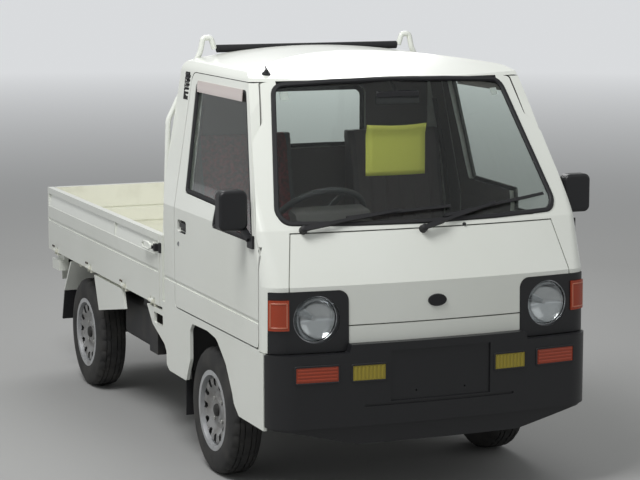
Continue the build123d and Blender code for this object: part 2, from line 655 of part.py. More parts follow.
def rear_corner():
    y = REAR_AXLE_Y
    hub = Pos(0, y, 0) * hub_stub(REAR_STUB_X)
    carrier = block(500, 582, y - 34, y + 34, 225, 309)
    arm = bar((400, y - 420, 400), (520, y - 20, 272), 50, 36)
    mount = block(360, 430, y - 470, y - 390, 380, RAIL_Z[0])
    spring = rod_z(290, RAIL_Z[0] + 20, 470, y + 10, 42) + block(RAIL_X[1], 520, y - 20, y + 40, RAIL_Z[0] + 10, RAIL_Z[0] + 30)
    return hub + carrier + arm + mount + spring


rear_l = rear_corner()
link = block(-430, 430, REAR_AXLE_Y - 470, REAR_AXLE_Y - 390, 440, RAIL_Z[0])
shafts = rod_x(-505, 505, REAR_AXLE_Y, TYRE_R, 14) + rod_x(-140, 140, REAR_AXLE_Y, TYRE_R + 20, 90)
save("rear_suspension", rear_l + mirrored(rear_l) + link + shafts)

# Chassis: two rails and the sills that carry the bed
BATTERY_TOP_Z = 545.0
ENGINE_TOP_Z = 488.0
SILL_YS = [-190.0, 160.0, 510.0, 790.0, 1300.0, 1555.0]
chassis = block(RAIL_X[0], RAIL_X[1], -1500, 1580, *RAIL_Z) + block(-RAIL_X[1], -RAIL_X[0], -1500, 1580, *RAIL_Z)
for y in SILL_YS:
    chassis += block(-640, 640, y - 22, y + 22, 545, 615)
for y in (-1470.0, -1100.0, -560.0):
    chassis += block(-330, 330, y - 30, y + 30, 500, 550)
for x in (-325.0, 325.0):
    for y in (-1400.0, -1150.0):
        chassis += block(x - 20, x + 20, y - 30, y + 30, 550, FOOT_Z - PAN_T)
chassis += block(-640, -600, SILL_YS[0], SILL_YS[1], BATTERY_TOP_Z, 580)
chassis += block(-60, 60, SILL_YS[4] - 20, SILL_YS[4] + 20, ENGINE_TOP_Z, 550)
horn = block(*RAIL_X, FRONT_Y, -1490, 460, 504) & extrude(Plane.XY.offset(200) * bumper_plan(BUMPER_T, -1400), 500)
chassis += horn + mirrored(horn)
save("chassis_frame", chassis)

# Engine, muffler, tank and battery box
engine = block(-230, 230, 1145, 1480, 280, ENGINE_TOP_Z)
save("engine_block", fillet(engine.edges(), 14))
muffler = rod_x(-300, 60, 1550, 355, 60)
muffler += block(-150, -110, 1544, 1556, 400, 545)
muffler += rod_y(1560, 1625, -250, 330, 15)
save("muffler", muffler)
tank = block(-620, -372, 70, 560, 345, 545)
save("fuel_tank", fillet(tank.edges(), 30))
save("battery_box", block(-660, -520, -80, 40, 360, BATTERY_TOP_Z))

# Bed deck, with its flanges and hinge ears
DECK_REAR_Y = GATE_REAR_Y - GATE_T - 7.0
HINGE_Z = GATE_BOTTOM_Z + GATE_PIN_UP
SIDE_HINGE_X = HALF - 0.5 + GATE_PIN_OUT
TAIL_HINGE_Y = GATE_REAR_Y + GATE_PIN_OUT
GATE_FRONT_Y = -222.0
SIDE_HINGES = [-120.0, 314.0, 884.0, 1492.0]
TAIL_HINGES = [-450.0, 0.0, 450.0]
EAR_AT = HINGE_W / 2
FLANGE_Z = 594.0
DECK_GROOVES = 10
DECK_PITCH = 120.0
ROPE_HOOKS = [-20.0, 624.0, 1200.0]


def side_ears(y):
    """Two ears and the pin between them, for a side gate on the +X side."""
    solid = rod_y(y - EAR_AT - EAR_W, y + EAR_AT + EAR_W, SIDE_HINGE_X, HINGE_Z, GATE_PIN_R)
    for y0 in (y - EAR_AT - EAR_W, y + EAR_AT):
        solid += rod_y(y0, y0 + EAR_W, SIDE_HINGE_X, HINGE_Z, EAR_EYE_R)
        solid += block(SIDE_HINGE_X - 10, SIDE_HINGE_X - 3, y0, y0 + EAR_W, FLANGE_Z, HINGE_Z)
        solid += block(DECK_HALF - 6, SIDE_HINGE_X - 3, y0, y0 + EAR_W, FLANGE_Z, FLANGE_Z + 9)
    return solid


def turned(solid):
    """A side hinge's form turned to the tail, from its place at y = 0."""
    return Pos(0, TAIL_HINGE_Y - SIDE_HINGE_X, 0) * Rot(0, 0, 90) * solid


deck = block(-DECK_HALF, DECK_HALF, -230, DECK_REAR_Y, DECK_Z - DECK_T, DECK_Z)
flange_l = block(DECK_HALF - 12, DECK_HALF, -228, DECK_REAR_Y, FLANGE_Z, DECK_Z - DECK_T)
deck += flange_l + mirrored(flange_l)
deck += block(-DECK_HALF, DECK_HALF, DECK_REAR_Y - 12, DECK_REAR_Y, FLANGE_Z, DECK_Z - DECK_T)
for y in SIDE_HINGES:
    ears = side_ears(y)
    deck += ears + mirrored(ears)
for x in TAIL_HINGES:
    ears = Pos(x, 0, 0) * turned(side_ears(0.0))
    deck += ears
for i in range(DECK_GROOVES):
    x = (i - (DECK_GROOVES - 1) / 2) * DECK_PITCH
    deck -= block(x - 16, x + 16, -170, DECK_REAR_Y - 40, DECK_Z - 4, DECK_Z + 1)
for y in ROPE_HOOKS:
    hook = tube([(649, y - 22, 600), (649, y - 22, 576), (649, y + 22, 576), (649, y + 22, 600)], 4.5, 9)
    deck += hook + mirrored(hook)
save("bed_deck", deck)

# Gates
BAND_Z = (834.0, 898.0)
BAND_DEPTH = 13.0
PRESSINGS = [
    # bottom, top, depth, 1 outside or -1 inside
    (756.0, 772.0, 4.5, 1), (800.0, 815.0, 5.0, -1), (690.0, 735.0, 5.0, -1),
]
RIB_Y = 455.0
BARREL_W = HINGE_W - 10.0


def gate_hinge_cut(y):
    """Room in a side gate for the ears, beside the barrel."""
    cut = rod_y(y - EAR_AT - EAR_W - 5, y + EAR_AT + EAR_W + 5, SIDE_HINGE_X, HINGE_Z, EAR_EYE_R + 8)
    return cut - rod_y(y - BARREL_W / 2, y + BARREL_W / 2, SIDE_HINGE_X, HINGE_Z, EAR_EYE_R + 9)


def gate_barrel(y):
    return rod_y(y - BARREL_W / 2, y + BARREL_W / 2, SIDE_HINGE_X, HINGE_Z, EAR_EYE_R)


def gate(y0, y1, hinges):
    """A gate on the +X side between y0 and y1."""
    x1 = HALF - 0.5
    body = block(x1 - GATE_T, x1, y0, y1, GATE_BOTTOM_Z, GATE_TOP_Z)
    for z0, z1, depth, side in PRESSINGS:
        face = x1 if side > 0 else x1 - GATE_T
        body -= block(face - depth, face + depth, y0 + 16, y1 - 16, z0, z1)
    band = [(x1 + 5, BAND_Z[1]), (x1 - BAND_DEPTH, BAND_Z[1]), (x1 - 3, BAND_Z[0]), (x1 + 5, BAND_Z[0] - 6)]
    body -= front_prism(band, y0 + 16, y1 - 16)
    for y in hinges:
        body = body - gate_hinge_cut(y) + gate_barrel(y)
    for y in hinges:
        body -= rod_y(y - 60, y + 60, SIDE_HINGE_X, HINGE_Z, GATE_PIN_R + RUN_FIT)
    return body


gate_l = gate(GATE_FRONT_Y, GATE_REAR_Y, SIDE_HINGES)
gate_l += block(HALF - 15, HALF - 1.5, RIB_Y - 7, RIB_Y + 7, *BAND_Z)
save("gate_left", gate_l)
save("gate_right", mirrored(gate_l))
TAILGATE_HALF = DECK_HALF + 3.0
tailgate = turned(gate(-TAILGATE_HALF, TAILGATE_HALF, TAIL_HINGES))
save("tailgate", tailgate)

# Headboard with corner posts, and the guard frame over it
HEAD_Y = (-258.0, -231.0)
head = block(-DECK_HALF, DECK_HALF, HEAD_Y[0], HEAD_Y[1], DECK_Z - DECK_T, GATE_TOP_Z)
post_l = block(DECK_HALF, HALF - 2, HEAD_Y[0], -228, GATE_BOTTOM_Z, GATE_TOP_Z)
headboard = head + post_l + mirrored(post_l)
GUARD_Y = -243.0
GUARD_R = 12.0
GUARD_TOP_Z = TOP_Z - GUARD_R
GUARD = [(672, GATE_TOP_Z - 6), (655, 1430), (505, 1722), (492, GUARD_TOP_Z), (456, GUARD_TOP_Z), (440, 1735)]
guard_l = tube([(x, GUARD_Y, z) for x, z in GUARD], GUARD_R, [60, 60, 15, 15])
save("guard_frame", headboard + guard_l + mirrored(guard_l))
save("guard_pad", rod_x(-428, 428, GUARD_Y, 1735, 17))

# Under the bed: side panels ahead of the rear wheels, guards and flaps behind them
PANEL = [(304, 508), (335, 594), (799, 594), (725, 433)]
panel_l = side_prism(PANEL, HALF - SKIRT_T, HALF)
panel_l += block(DECK_HALF + 4, HALF, 340, 790, FLANGE_Z - 8, FLANGE_Z - SEAT_GAP)
guard_plate = side_prism([(1231, 594), (1247, 594), (1374, 436), (1364, 428)], 545, 690)
guard_plate -= block(500, 640 + SEAT_GAP, SILL_YS[4] - 22 - SEAT_GAP, SILL_YS[4] + 22 + SEAT_GAP, 544, 620)
rear_flap = side_prism([(1364.2, 427.7), (1374.2, 435.7), (1426, 275), (1417, 272)], 550, 688)
front_flap = block(530, 658, -544.7, -538.7, 186, 470) + block(600, 684, -544.7, -538.7, 186, 340)
save("mud_flaps", rear_flap, mirrored(rear_flap), front_flap, mirrored(front_flap))
rear_panel = block(-640, 640, DECK_REAR_Y - 10, DECK_REAR_Y - 2, 450, FLANGE_Z)
end_strip = block(640, 692, 1463, DECK_REAR_Y - 12, 514, 566) + block(640, 662, 1463, DECK_REAR_Y - 12, 560, FLANGE_Z)
rear_panel += end_strip + mirrored(end_strip) + block(-642, 642, DECK_REAR_Y - 14, DECK_REAR_Y - 2, 514, 560)
save("under_bed_panels", panel_l, mirrored(panel_l), guard_plate, mirrored(guard_plate), rear_panel)
rear_lamp_l = block(430, 610, DECK_REAR_Y - 2, DECK_REAR_Y + 22, 480, 572)
save("rear_lamps", rear_lamp_l, mirrored(rear_lamp_l))
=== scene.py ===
import math

import bmesh
import bpy
from mathutils import Matrix, Vector
from mathutils.bvhtree import BVHTree


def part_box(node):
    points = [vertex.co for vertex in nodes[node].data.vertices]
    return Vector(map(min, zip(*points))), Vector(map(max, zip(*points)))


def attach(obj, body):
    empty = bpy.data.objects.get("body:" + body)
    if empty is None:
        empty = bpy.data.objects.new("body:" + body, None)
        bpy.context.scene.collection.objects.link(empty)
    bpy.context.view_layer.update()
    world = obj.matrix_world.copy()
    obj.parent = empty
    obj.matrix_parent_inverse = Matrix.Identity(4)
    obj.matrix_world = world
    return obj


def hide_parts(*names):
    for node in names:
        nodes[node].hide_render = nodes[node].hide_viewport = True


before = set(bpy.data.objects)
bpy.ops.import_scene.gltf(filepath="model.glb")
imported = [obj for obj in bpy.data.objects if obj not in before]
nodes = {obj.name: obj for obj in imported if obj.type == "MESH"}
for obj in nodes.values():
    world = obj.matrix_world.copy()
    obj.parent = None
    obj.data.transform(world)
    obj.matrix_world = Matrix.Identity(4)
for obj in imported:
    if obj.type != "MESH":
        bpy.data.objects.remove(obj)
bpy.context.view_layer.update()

# Camera that the photograph was taken with: metres and radians, lens and sensor in millimetres
CAMERA_AT = (-3.558, -9.096, 2.267)
CAMERA_YAW = 0.3878
CAMERA_PITCH = 0.1457
CAMERA_LENS = 120.58
SENSOR_WIDTH = 36.0


def middle(name):
    """Middle of a CAD node's box."""
    low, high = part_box(name)
    return (low + high) / 2


# Main places of the truck in metres: the nose faces -Y, the left side is +X, rays start FAR out
SIDES = (("left", 1), ("right", -1))
FAR = 3.0
BODY_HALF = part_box("cab_sides")[1].x
BELT_Z = 1.075
BELT_HALF = 0.6975
ROOF_EDGE_Z = 1.685
ROOF_EDGE_HALF = 0.594
LEAN = (BELT_HALF - ROOF_EDGE_HALF) / (ROOF_EDGE_Z - BELT_Z)
WHEEL_Z = middle("tyre_fl").z
FRONT_AXLE = middle("tyre_fl").y
REAR_AXLE = middle("tyre_rl").y
WHEELS = (("fl", 1, FRONT_AXLE), ("fr", -1, FRONT_AXLE), ("rl", 1, REAR_AXLE), ("rr", -1, REAR_AXLE))


# Materials

def shader(name, colour, rough=0.5, metal=0.0, **sockets):
    """A plain material: colour, roughness, metal, and any other socket by name."""
    m = bpy.data.materials.new(name)
    m.use_nodes = True
    b = m.node_tree.nodes["Principled BSDF"]
    b.inputs["Base Color"].default_value = (*colour, 1.0)
    b.inputs["Roughness"].default_value = rough
    b.inputs["Metallic"].default_value = metal
    for key, value in sockets.items():
        b.inputs[key.replace("_", " ")].default_value = value
    return m


def noise(m, scale, detail):
    """Noise texture in the frame's own coordinates."""
    tree = m.node_tree
    at = tree.nodes.new("ShaderNodeTexCoord")
    tex = tree.nodes.new("ShaderNodeTexNoise")
    tex.inputs["Scale"].default_value = scale
    tex.inputs["Detail"].default_value = detail
    tree.links.new(at.outputs["Object"], tex.inputs["Vector"])
    return tex


def blotch(m, colour_a, colour_b, scale, low=0.4, high=0.65):
    """Base colour that wanders between two colours."""
    tree = m.node_tree
    tex = noise(m, scale, 5.0)
    ramp = tree.nodes.new("ShaderNodeValToRGB")
    ramp.color_ramp.elements[0].position = low
    ramp.color_ramp.elements[0].color = (*colour_a, 1.0)
    ramp.color_ramp.elements[1].position = high
    ramp.color_ramp.elements[1].color = (*colour_b, 1.0)
    tree.links.new(tex.outputs["Fac"], ramp.inputs["Fac"])
    tree.links.new(ramp.outputs["Color"], tree.nodes["Principled BSDF"].inputs["Base Color"])
    return m


def grain(m, scale, strength, distance=0.001):
    """Fine bump."""
    tree = m.node_tree
    tex = noise(m, scale, 3.0)
    bump = tree.nodes.new("ShaderNodeBump")
    bump.inputs["Strength"].default_value = strength
    bump.inputs["Distance"].default_value = distance
    tree.links.new(tex.outputs["Fac"], bump.inputs["Height"])
    tree.links.new(bump.outputs["Normal"], tree.nodes["Principled BSDF"].inputs["Normal"])
    return m


# Paint
WHITE = (0.80, 0.82, 0.76)
white = blotch(shader("body_white", WHITE, 0.30, Coat_Weight=0.5, Coat_Roughness=0.08),
               (0.81, 0.83, 0.775), (0.775, 0.795, 0.735), 1.6)
cream = blotch(grain(shader("bed_cream", WHITE, 0.5), 60, 0.15),
               (0.80, 0.80, 0.70), (0.66, 0.65, 0.55), 6.0, 0.5, 0.8)

# Plastic and rubber
charcoal = grain(shader("grained_charcoal", (0.0115, 0.0118, 0.0135), 0.40), 900, 0.25, 0.0006)
black = shader("black_rubber", (0.012, 0.012, 0.014), 0.6)
black_gloss = shader("black_gloss", (0.01, 0.01, 0.012), 0.25)
# Near black: painted shade in the rims' holes and wells, and the real black of the pillar vents' plates
hole_shade_and_vent_black = shader("hole_shade_and_vent_black", (0.01, 0.01, 0.01), 0.8)
foam = grain(shader("foam_sleeve", (0.014, 0.014, 0.016), 0.9), 500, 0.5)
tyre_rubber = blotch(grain(shader("tyre_rubber", (0.022, 0.022, 0.022), 0.8), 300, 0.3),
                     (0.026, 0.026, 0.026), (0.048, 0.046, 0.043), 9.0)

# Metal
silver = blotch(grain(shader("wheel_silver", (0.5, 0.5, 0.5), 0.42, 0.55), 220, 0.1),
                (0.52, 0.53, 0.54), (0.36, 0.35, 0.34), 14.0, 0.5, 0.75)
# Painted shade: a darker copy of the wheel silver for the flat faces of the rims' discs
shaded_disc_silver = blotch(grain(shader("shaded_disc_silver", (0.3, 0.3, 0.3), 0.45, 0.5), 220, 0.1),
                     (0.34, 0.34, 0.34), (0.20, 0.19, 0.18), 16.0, 0.45, 0.75)
dark_iron = blotch(grain(shader("dark_iron", (0.05, 0.045, 0.04), 0.75, 0.2), 120, 0.4),
                   (0.05, 0.045, 0.042), (0.10, 0.075, 0.055), 8.0)
chassis_black = blotch(grain(shader("chassis_black", (0.02, 0.02, 0.02), 0.6), 90, 0.2),
                       (0.018, 0.018, 0.02), (0.05, 0.045, 0.038), 5.0, 0.5, 0.78)
browned_steel = blotch(grain(shader("browned_steel", (0.3, 0.26, 0.22), 0.5, 0.7), 150, 0.2),
                       (0.32, 0.29, 0.26), (0.20, 0.14, 0.09), 7.0)
chrome = shader("chrome", (0.55, 0.56, 0.58), 0.18, 1.0)
reflector = shader("reflector", (0.62, 0.63, 0.64), 0.16, 1.0)
zinc = shader("zinc", (0.45, 0.45, 0.43), 0.4, 0.8)
hub_grease = shader("hub_grease", (0.022, 0.021, 0.020), 0.55, 0.1)

# Inside the cab
dash_grey = grain(shader("dash_grey", (0.055, 0.055, 0.06), 0.6), 700, 0.25, 0.0006)
trim_grey = grain(shader("trim_grey", (0.12, 0.11, 0.11), 0.7), 500, 0.2, 0.0006)
lining = grain(shader("roof_lining", (0.16, 0.145, 0.147), 0.85), 500, 0.2, 0.0006)
dark_trim = shader("dark_trim", (0.15, 0.13, 0.132), 0.7)
floor_grey = shader("floor_grey", (0.10, 0.10, 0.10), 0.8)
red_cloth = blotch(grain(shader("red_cloth", (0.12, 0.03, 0.035), 0.95), 900, 0.5, 0.0008),
                   (0.15, 0.06, 0.066), (0.27, 0.065, 0.075), 70.0, 0.42, 0.6)
seat_cloth = grain(shader("seat_cloth", (0.15, 0.125, 0.13), 0.95, Sheen_Weight=0.3), 900, 0.5, 0.0008)
seat_vinyl = grain(shader("seat_vinyl", (0.10, 0.088, 0.094), 0.5), 500, 0.2, 0.0005)
paper_yellow = shader("paper_yellow", (0.93, 0.90, 0.17), 0.7)
paper_white = shader("paper_white", (0.94, 0.95, 0.93), 0.7)

# Glass and lenses
pane = shader("pane", (0.86, 0.91, 0.88), 0.02, Transmission_Weight=1.0, IOR=1.38)
lamp_glass = shader("lamp_glass", (0.93, 0.95, 0.95), 0.06, Transmission_Weight=1.0, IOR=1.25)
smoke = shader("visor_smoke", (0.80, 0.72, 0.69), 0.18, Transmission_Weight=0.3, IOR=1.1, Coat_Weight=0.6)
orange = shader("orange_lens", (0.36, 0.046, 0.014), 0.25, Coat_Weight=0.25, Coat_Roughness=0.05)
pale_orange = shader("pale_orange", (0.52, 0.17, 0.10), 0.35)
yellow = shader("yellow_lens", (0.34, 0.27, 0.026), 0.25, Coat_Weight=0.25, Coat_Roughness=0.08)
red = shader("red_lens", (0.38, 0.012, 0.012), 0.2, Coat_Weight=0.5, Coat_Roughness=0.05)
pale_lens = shader("pale_lens", (0.6, 0.6, 0.58), 0.2, Coat_Weight=0.5, Coat_Roughness=0.05)

NODE_LOOKS = [
    (white, ["cab_sides", "cab_back_panel", "door_left", "door_right", "front_lid", "front_panel",
             "roof_panel", "gate_left", "gate_right", "tailgate", "guard_frame", "under_bed_panels"]),
    (cream, ["bed_deck"]),
    (charcoal, ["front_bumper", "lamp_bezels", "mirror_left", "mirror_right"]),
    (black, ["mud_flaps", "wipers"]),
    (foam, ["guard_pad"]),
    (tyre_rubber, ["tyre_fl", "tyre_fr", "tyre_rl", "tyre_rr"]),
    (silver, ["rim_fl", "rim_fr", "rim_rl", "rim_rr"]),
    (dark_iron, ["knuckle_left", "knuckle_right", "engine_block"]),
    (chassis_black, ["chassis_frame", "front_suspension", "rear_suspension", "steering_rod", "fuel_tank",
                     "battery_box"]),
    (browned_steel, ["muffler"]),
    (dash_grey, ["dashboard", "steering_column", "steering_wheel"]),
    (floor_grey, ["cab_floor"]),
    (seat_cloth, ["seats"]),
    (orange, ["turn_lamps"]),
    (yellow, ["fog_lamps"]),
    (red, ["rear_lamps"]),
    (pane, ["cab_glass", "door_glass_left", "door_glass_right"]),
    (lamp_glass, ["headlamps"]),
]
for look, names in NODE_LOOKS:
    for name in names:
        mesh = nodes[name].data
        mesh.materials.clear()
        mesh.materials.append(look)


# Faces that look into the cab, into the bed or into a wheel are trimmed or painted otherwise; the inner faces
# of the skirts and the under-bed panels, and the rims' discs, holes and wells, get painted shade

ARCH_Z = 0.64
SKIN = 0.02
SKIRT_SKIN = 0.009
DOOR_EDGE = (0.004, 0.034)
FRONT_OF_BED = -1.0
HEADBOARD_Z = 0.93
HEADBOARD_HALF = 0.66
DISC_R = 0.146
HOLES_R = 0.095
WELL_R = 0.12
WELL_DEPTH = 0.010


def half_at(z):
    """Half the body's width at a height."""
    return BODY_HALF - max(0.0, z - BELT_Z) * LEAN


def repaint(name, look, test):
    """Another material on the faces that pass a test of their centre and normal."""
    mesh = nodes[name].data
    mesh.materials.append(look)
    index = len(mesh.materials) - 1
    for face in mesh.polygons:
        if test(face.center, face.normal):
            face.material_index = index


def faces_middle(c, n):
    """True for a face that looks at the truck's middle plane."""
    return n.x * c.x < -0.3 * abs(c.x)


def turned_in(c, n, depth):
    """True for a face that looks at the middle plane from behind the outer skin."""
    return faces_middle(c, n) and abs(c.x) < half_at(c.z) - depth


def door_seam(c, n):
    """True for a face of a door's edge, behind its skin."""
    near, deep = DOOR_EDGE
    return abs(n.x) < 0.3 and n.y > -0.3 and half_at(c.z) - deep < abs(c.x) < half_at(c.z) - near


def wheel_radius(c, axle):
    """Distance of a face from its wheel's axis."""
    return math.hypot(c.y - axle, c.z - WHEEL_Z)


def faces_axle(c, n, axle):
    """True for a face that looks at its wheel's axis."""
    return n.y * (c.y - axle) + n.z * (c.z - WHEEL_Z) < -0.5 * wheel_radius(c, axle)


repaint("cab_sides", lining, lambda c, n: turned_in(c, n, SKIN) and c.z > ARCH_Z)
# Painted shade: the skirts' inner faces below the arch top, round the wheels, take the chassis black
repaint("cab_sides", chassis_black, lambda c, n: turned_in(c, n, SKIRT_SKIN) and c.z <= ARCH_Z)
for tag, _ in SIDES:
    repaint(f"door_{tag}", trim_grey, lambda c, n: turned_in(c, n, SKIN))
    repaint(f"door_{tag}", black, door_seam)
repaint("roof_panel", lining, lambda c, n: n.z < -0.3 or (n.y > 0.3 and c.y < FRONT_OF_BED))
repaint("cab_back_panel", dark_trim, lambda c, n: n.y < -0.3)
repaint("front_panel", dark_trim, lambda c, n: n.y > 0.3)
repaint("front_lid", dark_trim, lambda c, n: n.y > 0.3)
for tag, _ in SIDES:
    repaint(f"gate_{tag}", cream, faces_middle)
repaint("tailgate", cream, lambda c, n: n.y < -0.3)
repaint("guard_frame", cream, lambda c, n: n.y > 0.3 and c.z < HEADBOARD_Z and abs(c.x) < HEADBOARD_HALF)
# Painted shade: the under-bed panels' inner faces take the chassis black
repaint("under_bed_panels", chassis_black, faces_middle)
for tag, _, axle in WHEELS:
    name = f"rim_{tag}"
    well = abs(middle(name).x) + WELL_DEPTH
    # Painted shade on the rims: a darker silver on the disc's flat faces, near black on the walls of its
    # holes and on the well's faces that look at the axle
    repaint(name, shaded_disc_silver, lambda c, n: abs(n.x) > 0.5 and wheel_radius(c, axle) < DISC_R)
    repaint(name, hole_shade_and_vent_black, lambda c, n: abs(n.x) < 0.3 and HOLES_R < wheel_radius(c, axle) < DISC_R)
    repaint(name, hole_shade_and_vent_black,
            lambda c, n: faces_axle(c, n, axle) and abs(c.x) < well and wheel_radius(c, axle) > WELL_R)


# Mesh helpers

def round_edges(obj, width, segments=2, angle=30):
    """Rounds the edges that are sharper than an angle in degrees."""
    edges = obj.modifiers.new("edges", "BEVEL")
    edges.width = width
    edges.segments = segments
    edges.limit_method = "ANGLE"
    edges.angle_limit = math.radians(angle)


def thicken(obj, thickness):
    """Gives a sheet its thickness."""
    obj.modifiers.new("thick", "SOLIDIFY").thickness = thickness


def new_object(name, bm):
    """Object of a bmesh, in the scene."""
    mesh = bpy.data.meshes.new(name)
    bm.to_mesh(mesh)
    bm.free()
    obj = bpy.data.objects.new(name, mesh)
    bpy.context.scene.collection.objects.link(obj)
    return obj


def finish_piece(name, bm, look, body="root", bevel=0.0, flat=False):
    """Turns a bmesh into a piece that rides on a body."""
    bmesh.ops.recalc_face_normals(bm, faces=bm.faces)
    obj = new_object(name, bm)
    mesh = obj.data
    mesh.materials.append(look)
    if not flat:
        mesh.polygons.foreach_set("use_smooth", [True] * len(mesh.polygons))
        mesh.set_sharp_from_angle(angle=math.radians(35))
    if bevel:
        round_edges(obj, bevel)
    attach(obj, body)
    return obj


def mirrored(sign, x, y, z):
    """A point given for the left side, on the side that sign says."""
    return Vector((sign * x, y, z))


def add_box(bm, low, high):
    """Axis-aligned box between two corners."""
    low, high = Vector(low), Vector(high)
    made = bmesh.ops.create_cube(bm, size=1.0)
    bmesh.ops.scale(bm, vec=high - low, verts=made["verts"])
    bmesh.ops.translate(bm, vec=(low + high) / 2, verts=made["verts"])
    return made["verts"]


def add_side_box(bm, sign, xs, ys, zs):
    """Box on one side; xs are distances from the middle plane."""
    add_box(bm, mirrored(sign, xs[0], ys[0], zs[0]), mirrored(sign, xs[1], ys[1], zs[1]))


def add_rod(bm, p, q, r, r_end=None, segments=24):
    """Round bar or cone from p to q."""
    p, q = Vector(p), Vector(q)
    run = q - p
    turn = run.to_track_quat("Z", "Y").to_matrix().to_4x4()
    bmesh.ops.create_cone(bm, cap_ends=True, segments=segments, radius1=r,
                          radius2=r if r_end is None else r_end, depth=run.length,
                          matrix=Matrix.Translation((p + q) / 2) @ turn)


def shares(steps):
    """Even shares from 0 to 1."""
    return [i / steps for i in range(steps + 1)]


def parted(low, high, parts):
    """Values that part a range evenly."""
    return [low + (high - low) * t for t in shares(parts)[1:-1]]


def turns(count):
    """Even angles round a circle."""
    return [2 * math.pi * i / count for i in range(count)]


def add_skin(bm, rows, around=True, closed=False, capped=False):
    """Faces between rows of points. around closes each row, closed joins the last row to the first,
    and capped fills the first and the last row."""
    rings = [[bm.verts.new(point) for point in row] for row in rows]
    pairs = list(zip(rings, rings[1:]))
    if closed:
        pairs.append((rings[-1], rings[0]))
    count = len(rings[0])
    for a, b in pairs:
        for i in range(count if around else count - 1):
            j = (i + 1) % count
            bm.faces.new((a[i], a[j], b[j], b[i]))
    if capped:
        bm.faces.new(rings[0])
        bm.faces.new(rings[-1])


def add_lathe(bm, profile, centre, axis, segments=48, closed=False):
    """Turns a profile of (distance along the axis, radius) about the axis through centre."""
    centre, axis = Vector(centre), Vector(axis).normalized()
    side = axis.orthogonal().normalized()
    up = axis.cross(side)
    spokes = [side * math.cos(a) + up * math.sin(a) for a in turns(segments)]
    rows = [[centre + axis * along + spoke * max(r, 1e-5) for spoke in spokes] for along, r in profile]
    add_skin(bm, rows, closed=closed)


def add_sweep(bm, points, outs, section, closed=False):
    """Sweeps a section of (across, out) pairs along points; outs is a direction for each, or one for all."""
    if not isinstance(outs, list):
        outs = [outs] * len(points)
    count = len(points)
    rows = []
    for i, point in enumerate(points):
        before = points[i - 1] if i or closed else point
        after = points[(i + 1) % count] if i < count - 1 or closed else point
        run = (Vector(after) - Vector(before)).normalized()
        across = run.cross(Vector(outs[i]).normalized()).normalized()
        out = across.cross(run).normalized()
        rows.append([Vector(point) + across * u + out * v for u, v in section])
    add_skin(bm, rows, closed=closed, capped=not closed)


def add_strip(bm, hits, section, closed=False):
    """Sweeps a section along surface hits; a closed strip leans with the mean of five normals."""
    outs = [out for _, out in hits]
    if closed:
        count = len(outs)
        outs = [sum((outs[(i + k) % count] for k in range(-2, 3)), Vector()) for i in range(count)]
    add_sweep(bm, [spot for spot, _ in hits], outs, section, closed)


def round_section(r, count):
    """A round section."""
    return [(r * math.cos(a), r * math.sin(a)) for a in turns(count)]


def strip_section(width, height, base):
    """A crowned strip that lies on its surface."""
    w, mid = width / 2, height / 2
    return [(-w, base), (w, base), (w, mid), (w * 0.6, height), (-w * 0.6, height), (-w, mid)]


def bar_section(foot, top, low, high):
    """A bar from low to high, with half widths at its foot and top."""
    return [(-foot, low), (foot, low), (top, high), (-top, high)]


def moved_out(points, amount):
    """A closed outline of (a, b) points moved out by amount, whichever way it runs."""
    area = sum(p[0] * q[1] - q[0] * p[1] for p, q in zip(points, points[1:] + points[:1]))
    sign = 1 if area > 0 else -1
    n = len(points)
    lines = []
    for i in range(n):
        p, q = Vector(points[i]), Vector(points[(i + 1) % n])
        d = (q - p).normalized()
        lines.append((p + Vector((d.y, -d.x)) * sign * amount, d))
    result = []
    for i in range(n):
        (p, d), (q, e) = lines[i - 1], lines[i]
        cross = d.x * e.y - d.y * e.x
        if abs(cross) < 1e-6:
            result.append(tuple(q))
            continue
        t = ((q.x - p.x) * e.y - (q.y - p.y) * e.x) / cross
        result.append(tuple(p + d * t))
    return result


CORNER_STEPS = 6


def rounded(points, radii, step):
    """A closed outline with rounded corners, as points about step apart."""
    n = len(points)
    out = []
    for i in range(n):
        a, b, c = Vector(points[i - 1]), Vector(points[i]), Vector(points[(i + 1) % n])
        r = radii[i] if isinstance(radii, (list, tuple)) else radii
        d1, d2 = (a - b).normalized(), (c - b).normalized()
        angle = d1.angle(d2)
        if r <= 0 or angle > math.radians(178):
            out.append(b)
            continue
        cut = r / math.tan(angle / 2)
        centre = b + (d1 + d2).normalized() * (r / math.sin(angle / 2))
        start, end = b + d1 * cut - centre, b + d2 * cut - centre
        for k in range(CORNER_STEPS + 1):
            t = k / CORNER_STEPS
            out.append(centre + (start * (1 - t) + end * t).normalized() * r)
    filled = []
    for i, p in enumerate(out):
        q = out[(i + 1) % len(out)]
        parts = max(1, int((q - p).length / step))
        filled += [tuple(p + (q - p) * k / parts) for k in range(parts)]
    return filled


def rectangle(low_a, high_a, low_b, high_b):
    """Corners of a rectangle."""
    return [(low_a, low_b), (high_a, low_b), (high_a, high_b), (low_a, high_b)]


trees = {}


def surface(names, start, run):
    """Where a ray first meets any of these nodes: the point and the outward normal, or nothing."""
    run = Vector(run)
    best = None
    for name in names:
        if name not in trees:
            mesh = nodes[name].data
            corners = [v.co for v in mesh.vertices]
            trees[name] = BVHTree.FromPolygons(corners, [p.vertices for p in mesh.polygons])
        spot, normal, _, distance = trees[name].ray_cast(Vector(start), run.normalized())
        if spot is not None and (best is None or distance < best[2]):
            best = (spot, normal if normal.dot(run) < 0 else -normal, distance)
    return best[:2] if best else None


def from_front(names, x, z):
    """What the nodes show from ahead."""
    return surface(names, (x, -FAR, z), (0, 1, 0))


def from_rear(names, x, z):
    """What the nodes show from behind."""
    return surface(names, (x, FAR, z), (0, -1, 0))


